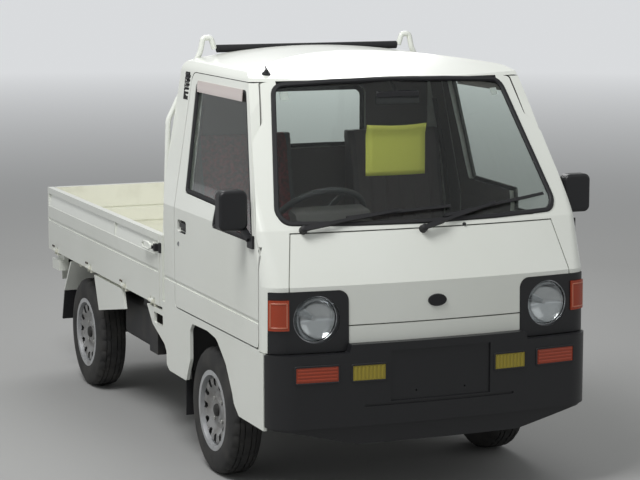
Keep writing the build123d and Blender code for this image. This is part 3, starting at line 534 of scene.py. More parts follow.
def from_side(names, sign, y, z):
    """What the nodes show from one side."""
    return surface(names, (sign * FAR, y, z), (-sign, 0, 0))


def found(hits):
    """The hits that aren't nothing."""
    return [hit for hit in hits if hit]


# Moulded edges of the bumper and the lamp surrounds
for name, width in (("front_bumper", 0.005), ("lamp_bezels", 0.003)):
    round_edges(nodes[name], width, 3, 40)

# Window rubbers: corners of the glass as (x, z) or (y, z), and their radii
SCREEN = [(-0.618, 1.118), (-0.31, 1.1075), (0.0, 1.104), (0.31, 1.1075), (0.618, 1.118),
          (0.507, 1.640), (0.25, 1.6505), (0.0, 1.654), (-0.25, 1.6505), (-0.507, 1.640)]
SCREEN_RADII = [0.05, 0, 0, 0, 0.05, 0.05, 0, 0, 0, 0.05]
SIDE_WINDOW = [(-0.553, 1.150), (-0.480, 1.612), (-1.092, 1.618), (-1.412, 1.050), (-0.930, 1.050),
               (-0.943, 1.140)]
SIDE_RADII = [0.012, 0.030, 0.034, 0.020, 0.004, 0.004]
REAR_PANE = rectangle(-0.255, 0.255, 1.290, 1.560)
REAR_RADIUS = 0.04


def rubber(name, loop, look_at, section, body="root"):
    """A closed rubber strip along a loop on the glass; look_at finds the glass at a point."""
    bm = bmesh.new()
    add_strip(bm, found(look_at(a, b) for a, b in loop), section, closed=True)
    finish_piece(name, bm, black, body)


rubber("screen_rubber", rounded(moved_out(SCREEN, -0.006), SCREEN_RADII, 0.025),
       lambda x, z: from_front(["cab_glass"], x, z), strip_section(0.021, 0.011, -0.002))
for tag, sign in SIDES:
    rubber(f"side_rubber_{tag}", rounded(moved_out(SIDE_WINDOW, -0.008), SIDE_RADII, 0.03),
           lambda y, z: from_side([f"door_glass_{tag}"], sign, y, z), strip_section(0.016, 0.012, -0.001),
           f"door_{tag}")
rubber("rear_pane_rubber", rounded(moved_out(REAR_PANE, -0.008), REAR_RADIUS, 0.04),
       lambda x, z: from_rear(["cab_glass"], x, z), strip_section(0.022, 0.012, -0.001))

# Tyres with shoulder blocks and ribs, on the CAD tyre's own outline
TREAD_SEGMENTS = 120
PLAIN, SHOULDER, RIB = 0, 1, 2
SHOULDER_EVERY = 4
RIB_EVERY = 6
RIB_SHIFT = 2
CUT_DEPTH = 0.006
TYRE_LINE = [
    # across from the tyre's middle, radius, kind of cut
    (0.058, 0.1575, PLAIN), (0.064, 0.166, PLAIN), (0.068, 0.186, PLAIN), (0.0698, 0.205, PLAIN),
    (0.0688, 0.222, PLAIN), (0.0662, 0.240, PLAIN), (0.0630, 0.250, PLAIN), (0.0585, 0.2570, SHOULDER),
    (0.0520, 0.2625, SHOULDER), (0.0440, 0.2658, SHOULDER), (0.0390, 0.2664, SHOULDER),
    (0.0385, 0.2600, PLAIN), (0.0345, 0.2600, PLAIN), (0.0340, 0.2668, RIB), (0.0180, 0.2670, RIB),
    (0.0175, 0.2600, PLAIN), (0.0135, 0.2600, PLAIN), (0.0130, 0.2670, RIB),
]


def tread_cut(segment, across, kind):
    """True where the tread is cut."""
    if kind == SHOULDER:
        return segment % SHOULDER_EVERY == 0
    shift = RIB_SHIFT if across > 0 else 0
    return kind == RIB and (segment + shift) % RIB_EVERY == 0


def tyre(tag, centre):
    """Tread and sidewalls about X through centre."""
    line = TYRE_LINE + [(-u, r, kind) for u, r, kind in reversed(TYRE_LINE)]
    rows = []
    for i, a in enumerate(turns(TREAD_SEGMENTS)):
        row = []
        for u, r, kind in line:
            radius = r - (CUT_DEPTH if tread_cut(i, u, kind) else 0.0)
            row.append(centre + Vector((u, radius * math.cos(a), radius * math.sin(a))))
        rows.append(row)
    bm = bmesh.new()
    add_skin(bm, rows, around=False, closed=True)
    obj = finish_piece(f"tread_{tag}", bm, tyre_rubber, f"wheel_{tag}")
    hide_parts(f"tyre_{tag}")


# Wheel nuts and hub caps, with distances out from the tyre's middle
LUGS = 4
LUG_CIRCLE = 0.060
LUG_R = 0.0105
LUG_FROM = 0.025
LUG_TO = 0.043
CAP_OUT = 0.054
CAP_LINE = [(0.003, 0.0), (0.002, 0.012), (-0.001, 0.022), (-0.006, 0.0265), (-0.019, 0.028)]
for tag, sign, axle in WHEELS:
    centre = Vector((middle(f"tyre_{tag}").x, axle, WHEEL_Z))
    out = Vector((sign, 0, 0))
    tyre(tag, centre)
    bm = bmesh.new()
    for k in range(LUGS):
        a = 2 * math.pi * (k + 0.5) / LUGS
        at = centre + Vector((0, LUG_CIRCLE * math.cos(a), LUG_CIRCLE * math.sin(a)))
        add_rod(bm, at + out * LUG_FROM, at + out * LUG_TO, LUG_R, segments=6)
    finish_piece(f"lug_nuts_{tag}", bm, zinc, f"wheel_{tag}", bevel=0.001)
    bm = bmesh.new()
    add_lathe(bm, CAP_LINE, centre + out * CAP_OUT, out, 32)
    finish_piece(f"hub_cap_{tag}", bm, hub_grease, f"wheel_{tag}")

# Badge place: a plain dark oval
BADGE_Z = 0.815
BADGE_SIZE = (0.082, 0.050, 0.008)
BADGE_SINK = 0.002
bm = bmesh.new()
badge_at, _ = from_front(["front_lid", "front_panel"], 0.0, BADGE_Z)
made = bmesh.ops.create_cone(bm, cap_ends=True, segments=40, radius1=0.5, radius2=0.47, depth=1.0)
bmesh.ops.scale(bm, vec=BADGE_SIZE, verts=made["verts"])
bmesh.ops.rotate(bm, cent=(0, 0, 0), matrix=Matrix.Rotation(math.pi / 2, 3, "X"), verts=made["verts"])
bmesh.ops.translate(bm, vec=badge_at - Vector((0, BADGE_SINK, 0)), verts=made["verts"])
finish_piece("badge_plain", bm, black_gloss)

# Headlamps: bowl with a bulb shield, glass with flutes and a chrome ring
LAMP_LOW, LAMP_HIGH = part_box("headlamps")
LAMP_Z = middle("headlamps").z
LAMP_R = (LAMP_HIGH.z - LAMP_LOW.z) / 2
LAMP_X = LAMP_HIGH.x - LAMP_R
LAMP_FRONT = LAMP_LOW.y
LAMP_BACK = LAMP_HIGH.y
BOWL_LINE = [(-0.004, 0.012), (-0.006, 0.030), (-0.014, 0.055), (-0.028, 0.075), (-0.040, LAMP_R - 0.008)]
RING_LINE = [(0.0, LAMP_R - 0.006), (-0.004, LAMP_R - 0.003), (-0.004, LAMP_R + 0.001),
             (0.002, LAMP_R + 0.003), (0.012, LAMP_R + 0.001), (0.012, LAMP_R - 0.006)]
DOME_DEPTH = 0.024
DOME_R = (LAMP_R ** 2 + DOME_DEPTH ** 2) / (2 * DOME_DEPTH)
LENS_R = LAMP_R - 0.003
LENS_STEPS = 22
LENS_SPOKES = 96
FLUTE_PITCH = 0.0125
FLUTE_DEPTH = 0.0009


def lens_point(x, step, a):
    """Point of a headlamp's fluted dome."""
    r = LENS_R * step / LENS_STEPS
    u, w = r * math.cos(a), r * math.sin(a)
    drop = DOME_R - math.sqrt(DOME_R ** 2 - r ** 2)
    flute = FLUTE_DEPTH * math.cos(2 * math.pi * u / FLUTE_PITCH) if step < LENS_STEPS - 1 else 0.0
    return (x + u, LAMP_FRONT + 0.001 + drop + flute, LAMP_Z + w)


for tag, sign in SIDES:
    x = sign * LAMP_X
    bm = bmesh.new()
    add_lathe(bm, BOWL_LINE, (x, LAMP_BACK - 0.002, LAMP_Z), (0, 1, 0), 48)
    add_rod(bm, (x, LAMP_BACK - 0.004, LAMP_Z), (x, LAMP_BACK - 0.034, LAMP_Z), 0.012, 0.009)
    finish_piece(f"lamp_bowl_{tag}", bm, reflector)
    bm = bmesh.new()
    add_skin(bm, [[lens_point(x, i, a) for a in turns(LENS_SPOKES)] for i in range(LENS_STEPS + 1)])
    glass = finish_piece(f"lamp_lens_{tag}", bm, lamp_glass)
    thicken(glass, 0.003)
    if sign > 0:
        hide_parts("headlamps")
    bm = bmesh.new()
    add_lathe(bm, RING_LINE, (x, LAMP_FRONT + DOME_DEPTH, LAMP_Z), (0, 1, 0), 64, closed=True)
    finish_piece(f"lamp_ring_{tag}", bm, chrome)

# Wipers: pivot cap, tapered arm, bow and rubber that follow the glass
WIPERS = [
    # pivot x, z, arm end x, z, blade start x, z, blade end x, z
    ((-0.515, 1.099), (-0.110, 1.150), (-0.330, 1.134), (0.120, 1.158)),
    ((-0.021, 1.084), (0.320, 1.158), (0.085, 1.124), (0.560, 1.182)),
]
NOZZLE_AT = (0.163, 1.093)
FRONT_NAMES = ["cab_glass", "front_lid", "front_panel", "cab_sides"]
GLASS_OUT = (0, -1, 0.6)
ARM_STEPS = 8
BLADE_STEPS = 12
ARM_LIFT = 0.024
ARM_DROP = 0.006
BLADE_LIFT = 0.006
BOW_LIFT = 0.011
BOW_RISE = 0.006
LINKS_AT = (0.03, 0.25, 0.5, 0.75, 0.97)


def on_front(x, z, lift):
    """Point over the front's surface."""
    spot, out = from_front(FRONT_NAMES, x, z)
    return spot + out * lift


def between(a, b, t):
    """Point on the way from a to b."""
    return (a[0] + (b[0] - a[0]) * t, a[1] + (b[1] - a[1]) * t)


def wiper(bm, pivot, arm_end, start, end):
    """One arm with its blade."""
    add_rod(bm, on_front(*pivot, -0.003), on_front(*pivot, 0.026), 0.017, 0.014)
    add_rod(bm, on_front(*pivot, 0.026), on_front(*pivot, 0.030), 0.014, 0.008)
    arm = [on_front(*between(pivot, arm_end, t), ARM_LIFT - ARM_DROP * t) for t in shares(ARM_STEPS)]
    add_sweep(bm, arm, GLASS_OUT, bar_section(0.007, 0.006, -0.003, 0.004))
    add_sweep(bm, [arm[0], arm[2]], GLASS_OUT, bar_section(0.010, 0.009, -0.006, 0.006))
    steps = shares(BLADE_STEPS)
    blade = [on_front(*between(start, end, t), BLADE_LIFT) for t in steps]
    add_sweep(bm, blade, GLASS_OUT, bar_section(0.003, 0.005, -0.005, 0.003))
    bow = [on_front(*between(start, end, t), BOW_LIFT + BOW_RISE * math.sin(math.pi * t)) for t in steps]
    add_sweep(bm, bow, GLASS_OUT, bar_section(0.006, 0.006, -0.002, 0.002))
    for t in LINKS_AT:
        at = between(start, end, t)
        top = BOW_LIFT + 0.002 + BOW_RISE * math.sin(math.pi * t)
        add_rod(bm, on_front(*at, 0.004), on_front(*at, top), 0.005, segments=10)


bm = bmesh.new()
for places in WIPERS:
    wiper(bm, *places)
wiper_set = finish_piece("wiper_set", bm, black)
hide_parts("wipers")
bm = bmesh.new()
add_rod(bm, on_front(*NOZZLE_AT, -0.002), on_front(*NOZZLE_AT, 0.006), 0.008, 0.006, 12)
finish_piece("washer_nozzle", bm, black)

# Lamp lenses in the bumper: x and z ranges, and how many parts their inner ribs make
TURN_LENS = (0.427, 0.604, 0.525, 0.592)
TURN_PARTS = 5
TURN_RIB_XS = (0.436, 0.475, 0.515, 0.555, 0.595)
FOG_LENS = (0.234, 0.376, 0.522, 0.589)
FOG_PARTS = 9
FOG_RIB_ENDS = (0.529, 0.582)


# Corner markers: a line inside the lens's edge, found by rays at the corner
CORNER_AT = (0.600, -1.500)
MARKER_Z = (0.740, 0.834)
MARKER_INSET = 0.10
MARKER_STEPS = 10


def corner_hit(sign, angle, z):
    """Point of the corner lens at an angle from straight ahead, or nothing beside it."""
    run = Vector((-sign * math.sin(angle), math.cos(angle), 0))
    start = mirrored(sign, *CORNER_AT, z) - run
    lens = surface(["turn_lamps"], start, run)
    front = surface(["turn_lamps", "lamp_bezels", "front_panel", "cab_sides"], start, run)
    return lens if lens and front and (lens[0] - front[0]).length < 1e-5 else None


def marker_line(sign):
    """Hits round the corner lens."""
    low, high = MARKER_Z
    angles = [math.radians(a) for a in range(0, 91)]
    seen = [a for a in angles if corner_hit(sign, a, (low + high) / 2)]
    first, last = seen[0] + MARKER_INSET, seen[-1] - MARKER_INSET
    turn = [first + (last - first) * t for t in shares(MARKER_STEPS)]
    rise = parted(low, high, 4)
    ring = [(a, low) for a in turn] + [(last, z) for z in rise]
    ring += [(a, high) for a in reversed(turn)] + [(first, z) for z in reversed(rise)]
    return found(corner_hit(sign, a, z) for a, z in ring)


for tag, sign in SIDES:
    bm = bmesh.new()
    for low_x, high_x, low_z, high_z in (TURN_LENS, FOG_LENS):
        outline = rounded(rectangle(sign * low_x, sign * high_x, low_z, high_z), 0.006, 0.03)
        hits = found(from_front(["front_bumper", "turn_lamps", "fog_lamps"], x, z) for x, z in outline)
        add_strip(bm, hits, strip_section(0.008, 0.003, -0.001), closed=True)
    finish_piece(f"lens_rims_{tag}", bm, black)
    bm = bmesh.new()
    for x in parted(*FOG_LENS[:2], FOG_PARTS):
        hits = [from_front(["fog_lamps"], sign * x, z) for z in FOG_RIB_ENDS]
        if all(hits):
            add_strip(bm, hits, strip_section(0.011, 0.0022, -0.0005))
    finish_piece(f"fog_ribs_{tag}", bm, yellow)
    bm = bmesh.new()
    for z in parted(*TURN_LENS[2:], TURN_PARTS):
        hits = [from_front(["turn_lamps"], sign * x, z) for x in TURN_RIB_XS]
        if all(hits):
            add_strip(bm, hits, strip_section(0.010, 0.002, -0.0005))
    finish_piece(f"turn_ribs_{tag}", bm, orange)
    bm = bmesh.new()
    add_strip(bm, marker_line(sign), strip_section(0.005, 0.0015, -0.0005), closed=True)
    finish_piece(f"marker_line_{tag}", bm, pale_orange)

# On each door: handle bed and lever, key barrel, mirror glass, rain visor
KEY_AT = (-0.497, 0.924)
KEY_LINE = [(0.0026, 0.0), (0.0026, 0.008), (0.0, 0.0105)]
MIRROR_X = 0.756
MIRROR_YS = (-1.3035, -1.3055)
MIRROR_Z = (1.105, 1.240)
MIRROR_HALF = 0.050
VISOR_Z = 1.592
VISOR_YS = (-0.505, -0.65, -0.80, -0.95, -1.055)
VISOR_SECTION = [(-0.024, 0.0135), (0.024, 0.009), (0.024, 0.011), (0.0, 0.016), (-0.024, 0.0155)]
for tag, sign in SIDES:
    body = f"door_{tag}"
    face = BODY_HALF
    bm = bmesh.new()
    add_side_box(bm, sign, (face - 0.0165, face - 0.0145), (-0.594, -0.490), (0.982, 1.024))
    finish_piece(f"handle_bed_{tag}", bm, dash_grey, body)
    bm = bmesh.new()
    add_side_box(bm, sign, (face - 0.0125, face - 0.0030), (-0.590, -0.500), (0.996, 1.020))
    add_side_box(bm, sign, (face - 0.0150, face - 0.0050), (-0.512, -0.497), (0.998, 1.018))
    finish_piece(f"handle_lever_{tag}", bm, black_gloss, body, bevel=0.003)
    bm = bmesh.new()
    add_lathe(bm, KEY_LINE, mirrored(sign, face, *KEY_AT), (sign, 0, 0), 24)
    finish_piece(f"key_ring_{tag}", bm, chrome, body)
    bm = bmesh.new()
    add_side_box(bm, sign, (face + 0.0020, face + 0.0032), (-0.499, -0.495), (0.917, 0.931))
    finish_piece(f"key_slot_{tag}", bm, black, body)
    x = sign * MIRROR_X
    outline = rounded(rectangle(x - MIRROR_HALF, x + MIRROR_HALF, *MIRROR_Z), 0.020, 0.02)
    bm = bmesh.new()
    add_skin(bm, [[(a, y, b) for a, b in outline] for y in MIRROR_YS], capped=True)
    finish_piece(f"mirror_glass_{tag}", bm, reflector, body)
    bm = bmesh.new()
    add_strip(bm, [from_side([f"door_glass_{tag}", body], sign, y, VISOR_Z) for y in VISOR_YS], VISOR_SECTION)
    finish_piece(f"rain_visor_{tag}", bm, smoke, body)

# Gate latches, with their catches on the posts, and bolt heads at the hinges
GATE_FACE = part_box("gate_left")[1].x
LATCH_AT = (-0.186, 0.868)
WIRE_ZS = (0.854, 0.882)
WIRE_SECTION = round_section(0.0055, 8)
HINGE_YS = (0.314, 0.884, 1.492)
HINGE_BOLT_Z = 0.641
BOLT_SPREAD = 0.012
for tag, sign in SIDES:
    body = f"gate_{tag}"
    face = GATE_FACE
    bm = bmesh.new()
    add_side_box(bm, sign, (face - 0.0135, face + 0.004), (-0.196, -0.176), (0.846, 0.890))
    for z in WIRE_ZS:
        wire = [mirrored(sign, face + 0.008, *LATCH_AT), mirrored(sign, face + 0.012, -0.150, z),
                mirrored(sign, face + 0.012, -0.075, z), mirrored(sign, face + 0.010, -0.052, LATCH_AT[1])]
        add_sweep(bm, wire, (sign, 0, 0.01), WIRE_SECTION)
    finish_piece(f"gate_latch_{tag}", bm, white, body, bevel=0.0012)
    bm = bmesh.new()
    add_side_box(bm, sign, (face - 0.012, face + 0.006), (-0.216, -0.196), (0.853, 0.884))
    add_rod(bm, mirrored(sign, face, *LATCH_AT), mirrored(sign, face + 0.012, *LATCH_AT), 0.008)
    finish_piece(f"latch_hook_{tag}", bm, black, body, bevel=0.0012)
    bm = bmesh.new()
    add_side_box(bm, sign, (0.6905, 0.7030), (-0.252, -0.2305), (0.848, 0.892))
    finish_piece(f"latch_catch_{tag}", bm, black, bevel=0.0015)
    bm = bmesh.new()
    for y in HINGE_YS:
        for at in (y - BOLT_SPREAD, y + BOLT_SPREAD):
            add_rod(bm, mirrored(sign, face - 0.001, at, HINGE_BOLT_Z),
                    mirrored(sign, face + 0.0035, at, HINGE_BOLT_Z), 0.006, 0.005, 6)
    finish_piece(f"gate_bolts_{tag}", bm, dark_iron, body)

# Aerial foot on the roof's corner
AERIAL_AT = (-0.507, -1.056)
spot, out = surface(["roof_panel"], (*AERIAL_AT, FAR), (0, 0, -1))
bm = bmesh.new()
add_rod(bm, spot - out * 0.003, spot + out * 0.008, 0.019, 0.016)
add_rod(bm, spot + out * 0.008, spot + out * 0.020, 0.012, 0.007)
add_rod(bm, spot + out * 0.018, spot + out * 0.018 + Vector((0.012, 0.045, 0.012)), 0.004, 0.003, 12)
finish_piece("aerial_foot", bm, black, bevel=0.001)

# Papers inside the windscreen: a yellow sheet and two small ones, all blank
SHEET_AT = (-0.130, -1.190, 1.263)
SHEET_WIDTH = 0.264
SHEET_HEIGHT = 0.209
SHEET_ROWS = 10
SHEET_COLUMNS = 8
SHEET_BULGE = 0.012
SHEET_SAG = 0.006
SHEET_CURL = 0.014
CURL_FROM = 0.8
PAPER_THICK = 0.0006
SMALL_PAPERS = ((-0.462, 1.598, 0.036, 0.032), (0.470, 1.592, 0.030, 0.026))
SMALL_DEPTHS = (0.0090, 0.0098)


def sheet_point(u, t):
    """Point of the yellow sheet at shares of its width and height."""
    arch = math.sin(math.pi * u)
    curl = SHEET_CURL * max(0.0, t - CURL_FROM) / (1 - CURL_FROM)
    x, y, z = SHEET_AT
    return (x + SHEET_WIDTH * u, y - SHEET_BULGE * arch - curl, z + SHEET_HEIGHT * t - SHEET_SAG * arch * t)


bm = bmesh.new()
add_skin(bm, [[sheet_point(u, t) for u in shares(SHEET_COLUMNS)] for t in shares(SHEET_ROWS)], around=False)
thicken(finish_piece("blank_sheet", bm, paper_yellow), PAPER_THICK)
bm = bmesh.new()
for x, z, width, height in SMALL_PAPERS:
    corners = rectangle(x - width / 2, x + width / 2, z - height / 2, z + height / 2)
    hits = [from_front(["cab_glass"], a, b) for a, b in corners]
    add_skin(bm, [[spot - out * depth for spot, out in hits] for depth in SMALL_DEPTHS], capped=True)
finish_piece("small_papers", bm, paper_white, flat=True)

# Dashboard: hood, dials, heater panel, glove box lid, knobs and vents
HOOD_LINE = [(-1.372, 1.090), (-1.335, 1.150), (-1.262, 1.162), (-1.238, 1.146), (-1.262, 1.130),
             (-1.268, 1.062), (-1.335, 1.060)]
HOOD_RADII = [0, 0.03, 0.015, 0.008, 0.006, 0, 0]
HOOD_MIDDLE = (-1.30, 1.090)
HOOD_ENDS = ((-0.490, 0.86), (-0.476, 1.0), (-0.184, 1.0), (-0.170, 0.86))
DIAL_XS = (-0.405, -0.255)
KNOB_XS = (-0.080, -0.040, 0.0, 0.040, 0.080)
VENT_XS = (-0.625, 0.590)
mid_y, mid_z = HOOD_MIDDLE
outline = rounded(HOOD_LINE, HOOD_RADII, 0.02)
bm = bmesh.new()
add_skin(bm, [[(x, mid_y + (y - mid_y) * share, mid_z + (z - mid_z) * share) for y, z in outline]
              for x, share in HOOD_ENDS], capped=True)
finish_piece("dial_hood", bm, trim_grey)
bm = bmesh.new()
for x in DIAL_XS:
    add_rod(bm, (x, -1.2655, 1.100), (x, -1.2595, 1.101), 0.030)
add_box(bm, (-0.110, -1.262, 1.012), (0.110, -1.248, 1.062))
add_box(bm, (0.170, -1.2595, 1.002), (0.560, -1.2525, 1.060))
finish_piece("dash_panels", bm, black_gloss, bevel=0.002)
bm = bmesh.new()
for x in KNOB_XS:
    add_rod(bm, (x, -1.2485, 1.026), (x, -1.240, 1.026), 0.007, segments=14)
for x in VENT_XS:
    add_box(bm, (x, -1.264, 1.028), (x + 0.045, -1.250, 1.064))
finish_piece("dash_knobs", bm, dark_trim, bevel=0.001)

# Controls: gear lever with knob and boot, hand brake, pedals
KNOB_LINE = [(-0.020, 0.010), (-0.008, 0.020), (0.010, 0.021), (0.024, 0.012), (0.027, 0.0)]
BOOT_LINE = [(0.0, 0.055), (0.020, 0.045), (0.035, 0.026), (0.055, 0.010)]
PEDAL_XS = (-0.470, -0.380, -0.250)
bm = bmesh.new()
add_rod(bm, (0.0, -1.150, 0.590), (-0.010, -1.085, 0.945), 0.007)
add_lathe(bm, KNOB_LINE, (-0.010, -1.083, 0.952), (0, 0.12, 1), 20)
add_lathe(bm, BOOT_LINE, (0.0, -1.150, 0.589), (0, 0.1, 1), 20)
add_rod(bm, (0.0, -0.800, 0.802), (0.0, -0.985, 0.900), 0.011)
add_box(bm, (-0.025, -0.860, 0.799), (0.025, -0.700, 0.835))
finish_piece("levers", bm, black)
bm = bmesh.new()
for x in PEDAL_XS:
    add_box(bm, (x - 0.030, -1.430, 0.700), (x + 0.030, -1.418, 0.760))
    add_rod(bm, (x, -1.425, 0.750), (x, -1.470, 0.985), 0.007)
finish_piece("pedals", bm, black, bevel=0.002)

# Overhead and on the rear pillars: mirror, visors folded up, belts with their reels
SUN_VISOR_AT = (0, -0.890, 1.628)
SUN_VISOR_TILT = Matrix.Rotation(math.radians(-4), 3, "X")
BELT_LINE = [(0.548, -0.400, 1.500), (0.590, -0.410, 1.250), (0.622, -0.420, 0.950), (0.622, -0.430, 0.810)]
bm = bmesh.new()
add_box(bm, (-0.075, -1.178, 1.548), (0.115, -1.152, 1.603))
add_rod(bm, (0.02, -1.150, 1.595), (0.02, -1.085, 1.650), 0.006)
finish_piece("inner_mirror", bm, black_gloss, bevel=0.010)
bm = bmesh.new()
for _, sign in reversed(SIDES):
    low_x, high_x = sorted((sign * 0.135, sign * 0.470))
    verts = add_box(bm, (low_x, -0.160, -0.009), (high_x, 0.0, 0.009))
    bmesh.ops.rotate(bm, cent=(0, 0, 0), matrix=SUN_VISOR_TILT, verts=verts)
    bmesh.ops.translate(bm, vec=SUN_VISOR_AT, verts=verts)
finish_piece("sun_visors", bm, trim_grey, bevel=0.006)
bm = bmesh.new()
for _, sign in reversed(SIDES):
    strap = [mirrored(sign, *at) for at in BELT_LINE]
    add_sweep(bm, strap, (sign, 0, 0.1), bar_section(0.022, 0.022, -0.001, 0.001))
    add_side_box(bm, sign, (0.640, 0.600), (-0.430, -0.380), (0.801, 0.880))
finish_piece("seat_belts", bm, black)

# Door trims: arm rest, map pocket and window crank; then the steering wheel's pad
CRANK_AT = (-1.080, 0.850)
CRANK_END = (-1.150, 0.880)
PAD_AT = (-0.330, -1.180, 1.105)
PAD_TILT = math.radians(42)
PAD_LINE = [(0.020, 0.0), (0.020, 0.045), (0.014, 0.062), (-0.010, 0.066)]
for tag, sign in SIDES:
    bm = bmesh.new()
    add_side_box(bm, sign, (0.664, 0.636), (-1.000, -0.640), (0.905, 0.945))
    add_side_box(bm, sign, (0.664, 0.646), (-1.260, -0.780), (0.700, 0.790))
    finish_piece(f"arm_rest_{tag}", bm, dark_trim, f"door_{tag}", bevel=0.008)
    bm = bmesh.new()
    add_rod(bm, mirrored(sign, 0.663, *CRANK_AT), mirrored(sign, 0.646, *CRANK_AT), 0.020)
    add_rod(bm, mirrored(sign, 0.648, *CRANK_AT), mirrored(sign, 0.644, *CRANK_END), 0.006, 0.005, 12)
    add_rod(bm, mirrored(sign, 0.650, *CRANK_END), mirrored(sign, 0.628, *CRANK_END), 0.009, segments=16)
    finish_piece(f"window_crank_{tag}", bm, black, f"door_{tag}")
bm = bmesh.new()
add_lathe(bm, PAD_LINE, PAD_AT, (0, math.sin(PAD_TILT), math.cos(PAD_TILT)), 32)
finish_piece("horn_pad", bm, black, "steering_wheel")

# Louvred vents on the rear pillars, which lean back with height
VENT_Z = 1.530
VENT_HEIGHT = 0.116
VENT_YS = (-0.409, -0.352)
VENT_LEAN = 0.15
VENT_STEPS = 4
VENT_FRONT = 0.0014
VENT_BACK = -0.0020
SLATS = 7
SLAT_Z = 1.538
SLAT_PITCH = 0.0165
SLAT_YS = (-0.403, -0.357)
SLAT_SECTION = [(-0.004, 0.001), (0.002, 0.001), (0.003, 0.0045), (-0.001, 0.0045)]


def pillar_hits(names, sign, ys, z):
    """Hits on a rear pillar at a height, moved back by its lean."""
    return [from_side(names, sign, y + (z - VENT_Z) * VENT_LEAN, z) for y in ys]


for tag, sign in SIDES:
    rows = []
    for t in shares(VENT_STEPS):
        z = VENT_Z + VENT_HEIGHT * t
        a, b = pillar_hits(["cab_sides", f"door_{tag}"], sign, VENT_YS, z)
        ends = ((a, VENT_FRONT), (b, VENT_FRONT), (b, VENT_BACK), (a, VENT_BACK))
        rows.append([hit[0] + hit[1] * lift for hit, lift in ends])
    bm = bmesh.new()
    add_skin(bm, rows, capped=True)
    finish_piece(f"vent_plate_{tag}", bm, hole_shade_and_vent_black, flat=True)
    bm = bmesh.new()
    for k in range(SLATS):
        add_strip(bm, pillar_hits(["cab_sides"], sign, SLAT_YS, SLAT_Z + SLAT_PITCH * k), SLAT_SECTION)
    finish_piece(f"vent_slats_{tag}", bm, black_gloss)

# Seats: blown-up cloth on the plain forms, with sewn channels
CUSHION = [(-1.006, 0.804), (-1.024, 0.876), (-0.990, 0.902), (-0.560, 0.882), (-0.508, 0.872),
           (-0.508, 0.804)]
BACK = [(-0.484, 0.804), (-0.462, 1.000), (-0.394, 1.328), (-0.376, 1.380), (-0.330, 1.380), (-0.322, 1.330),
        (-0.337, 0.804)]
SEAT_SPAN = (0.128, 0.592)
CLOTH_SPAN = (0.165, 0.556)
CHANNELS = (0.215, 0.290, 0.360, 0.430, 0.505)
CHANNEL_WIDTH = 0.006
CHANNEL_DEPTH = 0.006
VOXEL = 0.011
PRESSURE = 4.0
CLOTH_FRAMES = 20
CUSHION_CAP = 0.014
BACK_CAP = 0.012


def applied(obj):
    """The object's mesh with its modifiers worked out."""
    mesh = bpy.data.meshes.new_from_object(obj.evaluated_get(bpy.context.evaluated_depsgraph_get()))
    obj.modifiers.clear()
    obj.data = mesh
    return mesh


def blow_up(obj, cap):
    """Blows a closed mesh up as cloth; no point moves further than cap."""
    rest = [v.co.copy() for v in obj.data.vertices]
    cloth = obj.modifiers.new("cloth", "CLOTH")
    cloth.settings.use_pressure = True
    cloth.settings.uniform_pressure_force = PRESSURE
    cloth.settings.effector_weights.gravity = 0.0
    cloth.point_cache.frame_start = 1
    cloth.point_cache.frame_end = CLOTH_FRAMES
    for frame_number in range(1, CLOTH_FRAMES + 1):
        bpy.context.scene.frame_set(frame_number)
    for v, at in zip(applied(obj).vertices, rest):
        move = v.co - at
        if move.length > cap:
            v.co = at + move * (cap / move.length)
    bpy.context.scene.frame_set(1)


def sew(mesh, face_out):
    """Sinks the channels into the face that looks along face_out."""
    normals = [v.normal.copy() for v in mesh.vertices]
    for v, normal in zip(mesh.vertices, normals):
        if normal.dot(face_out) > 0.6:
            sink = sum(math.exp(-((abs(v.co.x) - c) / CHANNEL_WIDTH) ** 2) for c in CHANNELS)
            v.co -= face_out * CHANNEL_DEPTH * min(sink, 1.0)


def soft_pad(name, outline, sign, cap, look, face_out):
    """Cushion from a side outline: remeshed, blown up as cloth, then sewn across its face."""
    face_out = Vector(face_out)
    bm = bmesh.new()
    span = sorted(sign * x for x in SEAT_SPAN)
    add_skin(bm, [[(x, y, z) for y, z in outline] for x in span], capped=True)
    bmesh.ops.recalc_face_normals(bm, faces=bm.faces)
    obj = new_object(name, bm)
    grid = obj.modifiers.new("grid", "REMESH")
    grid.mode = "VOXEL"
    grid.voxel_size = VOXEL
    applied(obj)
    blow_up(obj, cap)
    finer = obj.modifiers.new("finer", "SUBSURF")
    finer.levels = 1
    finer.render_levels = 1
    mesh = applied(obj)
    sew(mesh, face_out)
    mesh.materials.clear()
    mesh.materials.append(look)
    mesh.materials.append(seat_vinyl)
    inner, outer = CLOTH_SPAN
    for face in mesh.polygons:
        face.use_smooth = True
        if not inner <= abs(face.center.x) <= outer or face.normal.dot(face_out) < -0.2:
            face.material_index = 1
    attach(obj, "root")
    return obj


for tag, sign in SIDES:
    look = red_cloth if sign < 0 else seat_cloth
    pad = soft_pad(f"seat_cushion_{tag}", CUSHION, sign, CUSHION_CAP, look, (0, 0, 1))
    soft_pad(f"seat_back_{tag}", BACK, sign, BACK_CAP, look, (0, -1, 0.2))
    if sign > 0:
        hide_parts("seats")

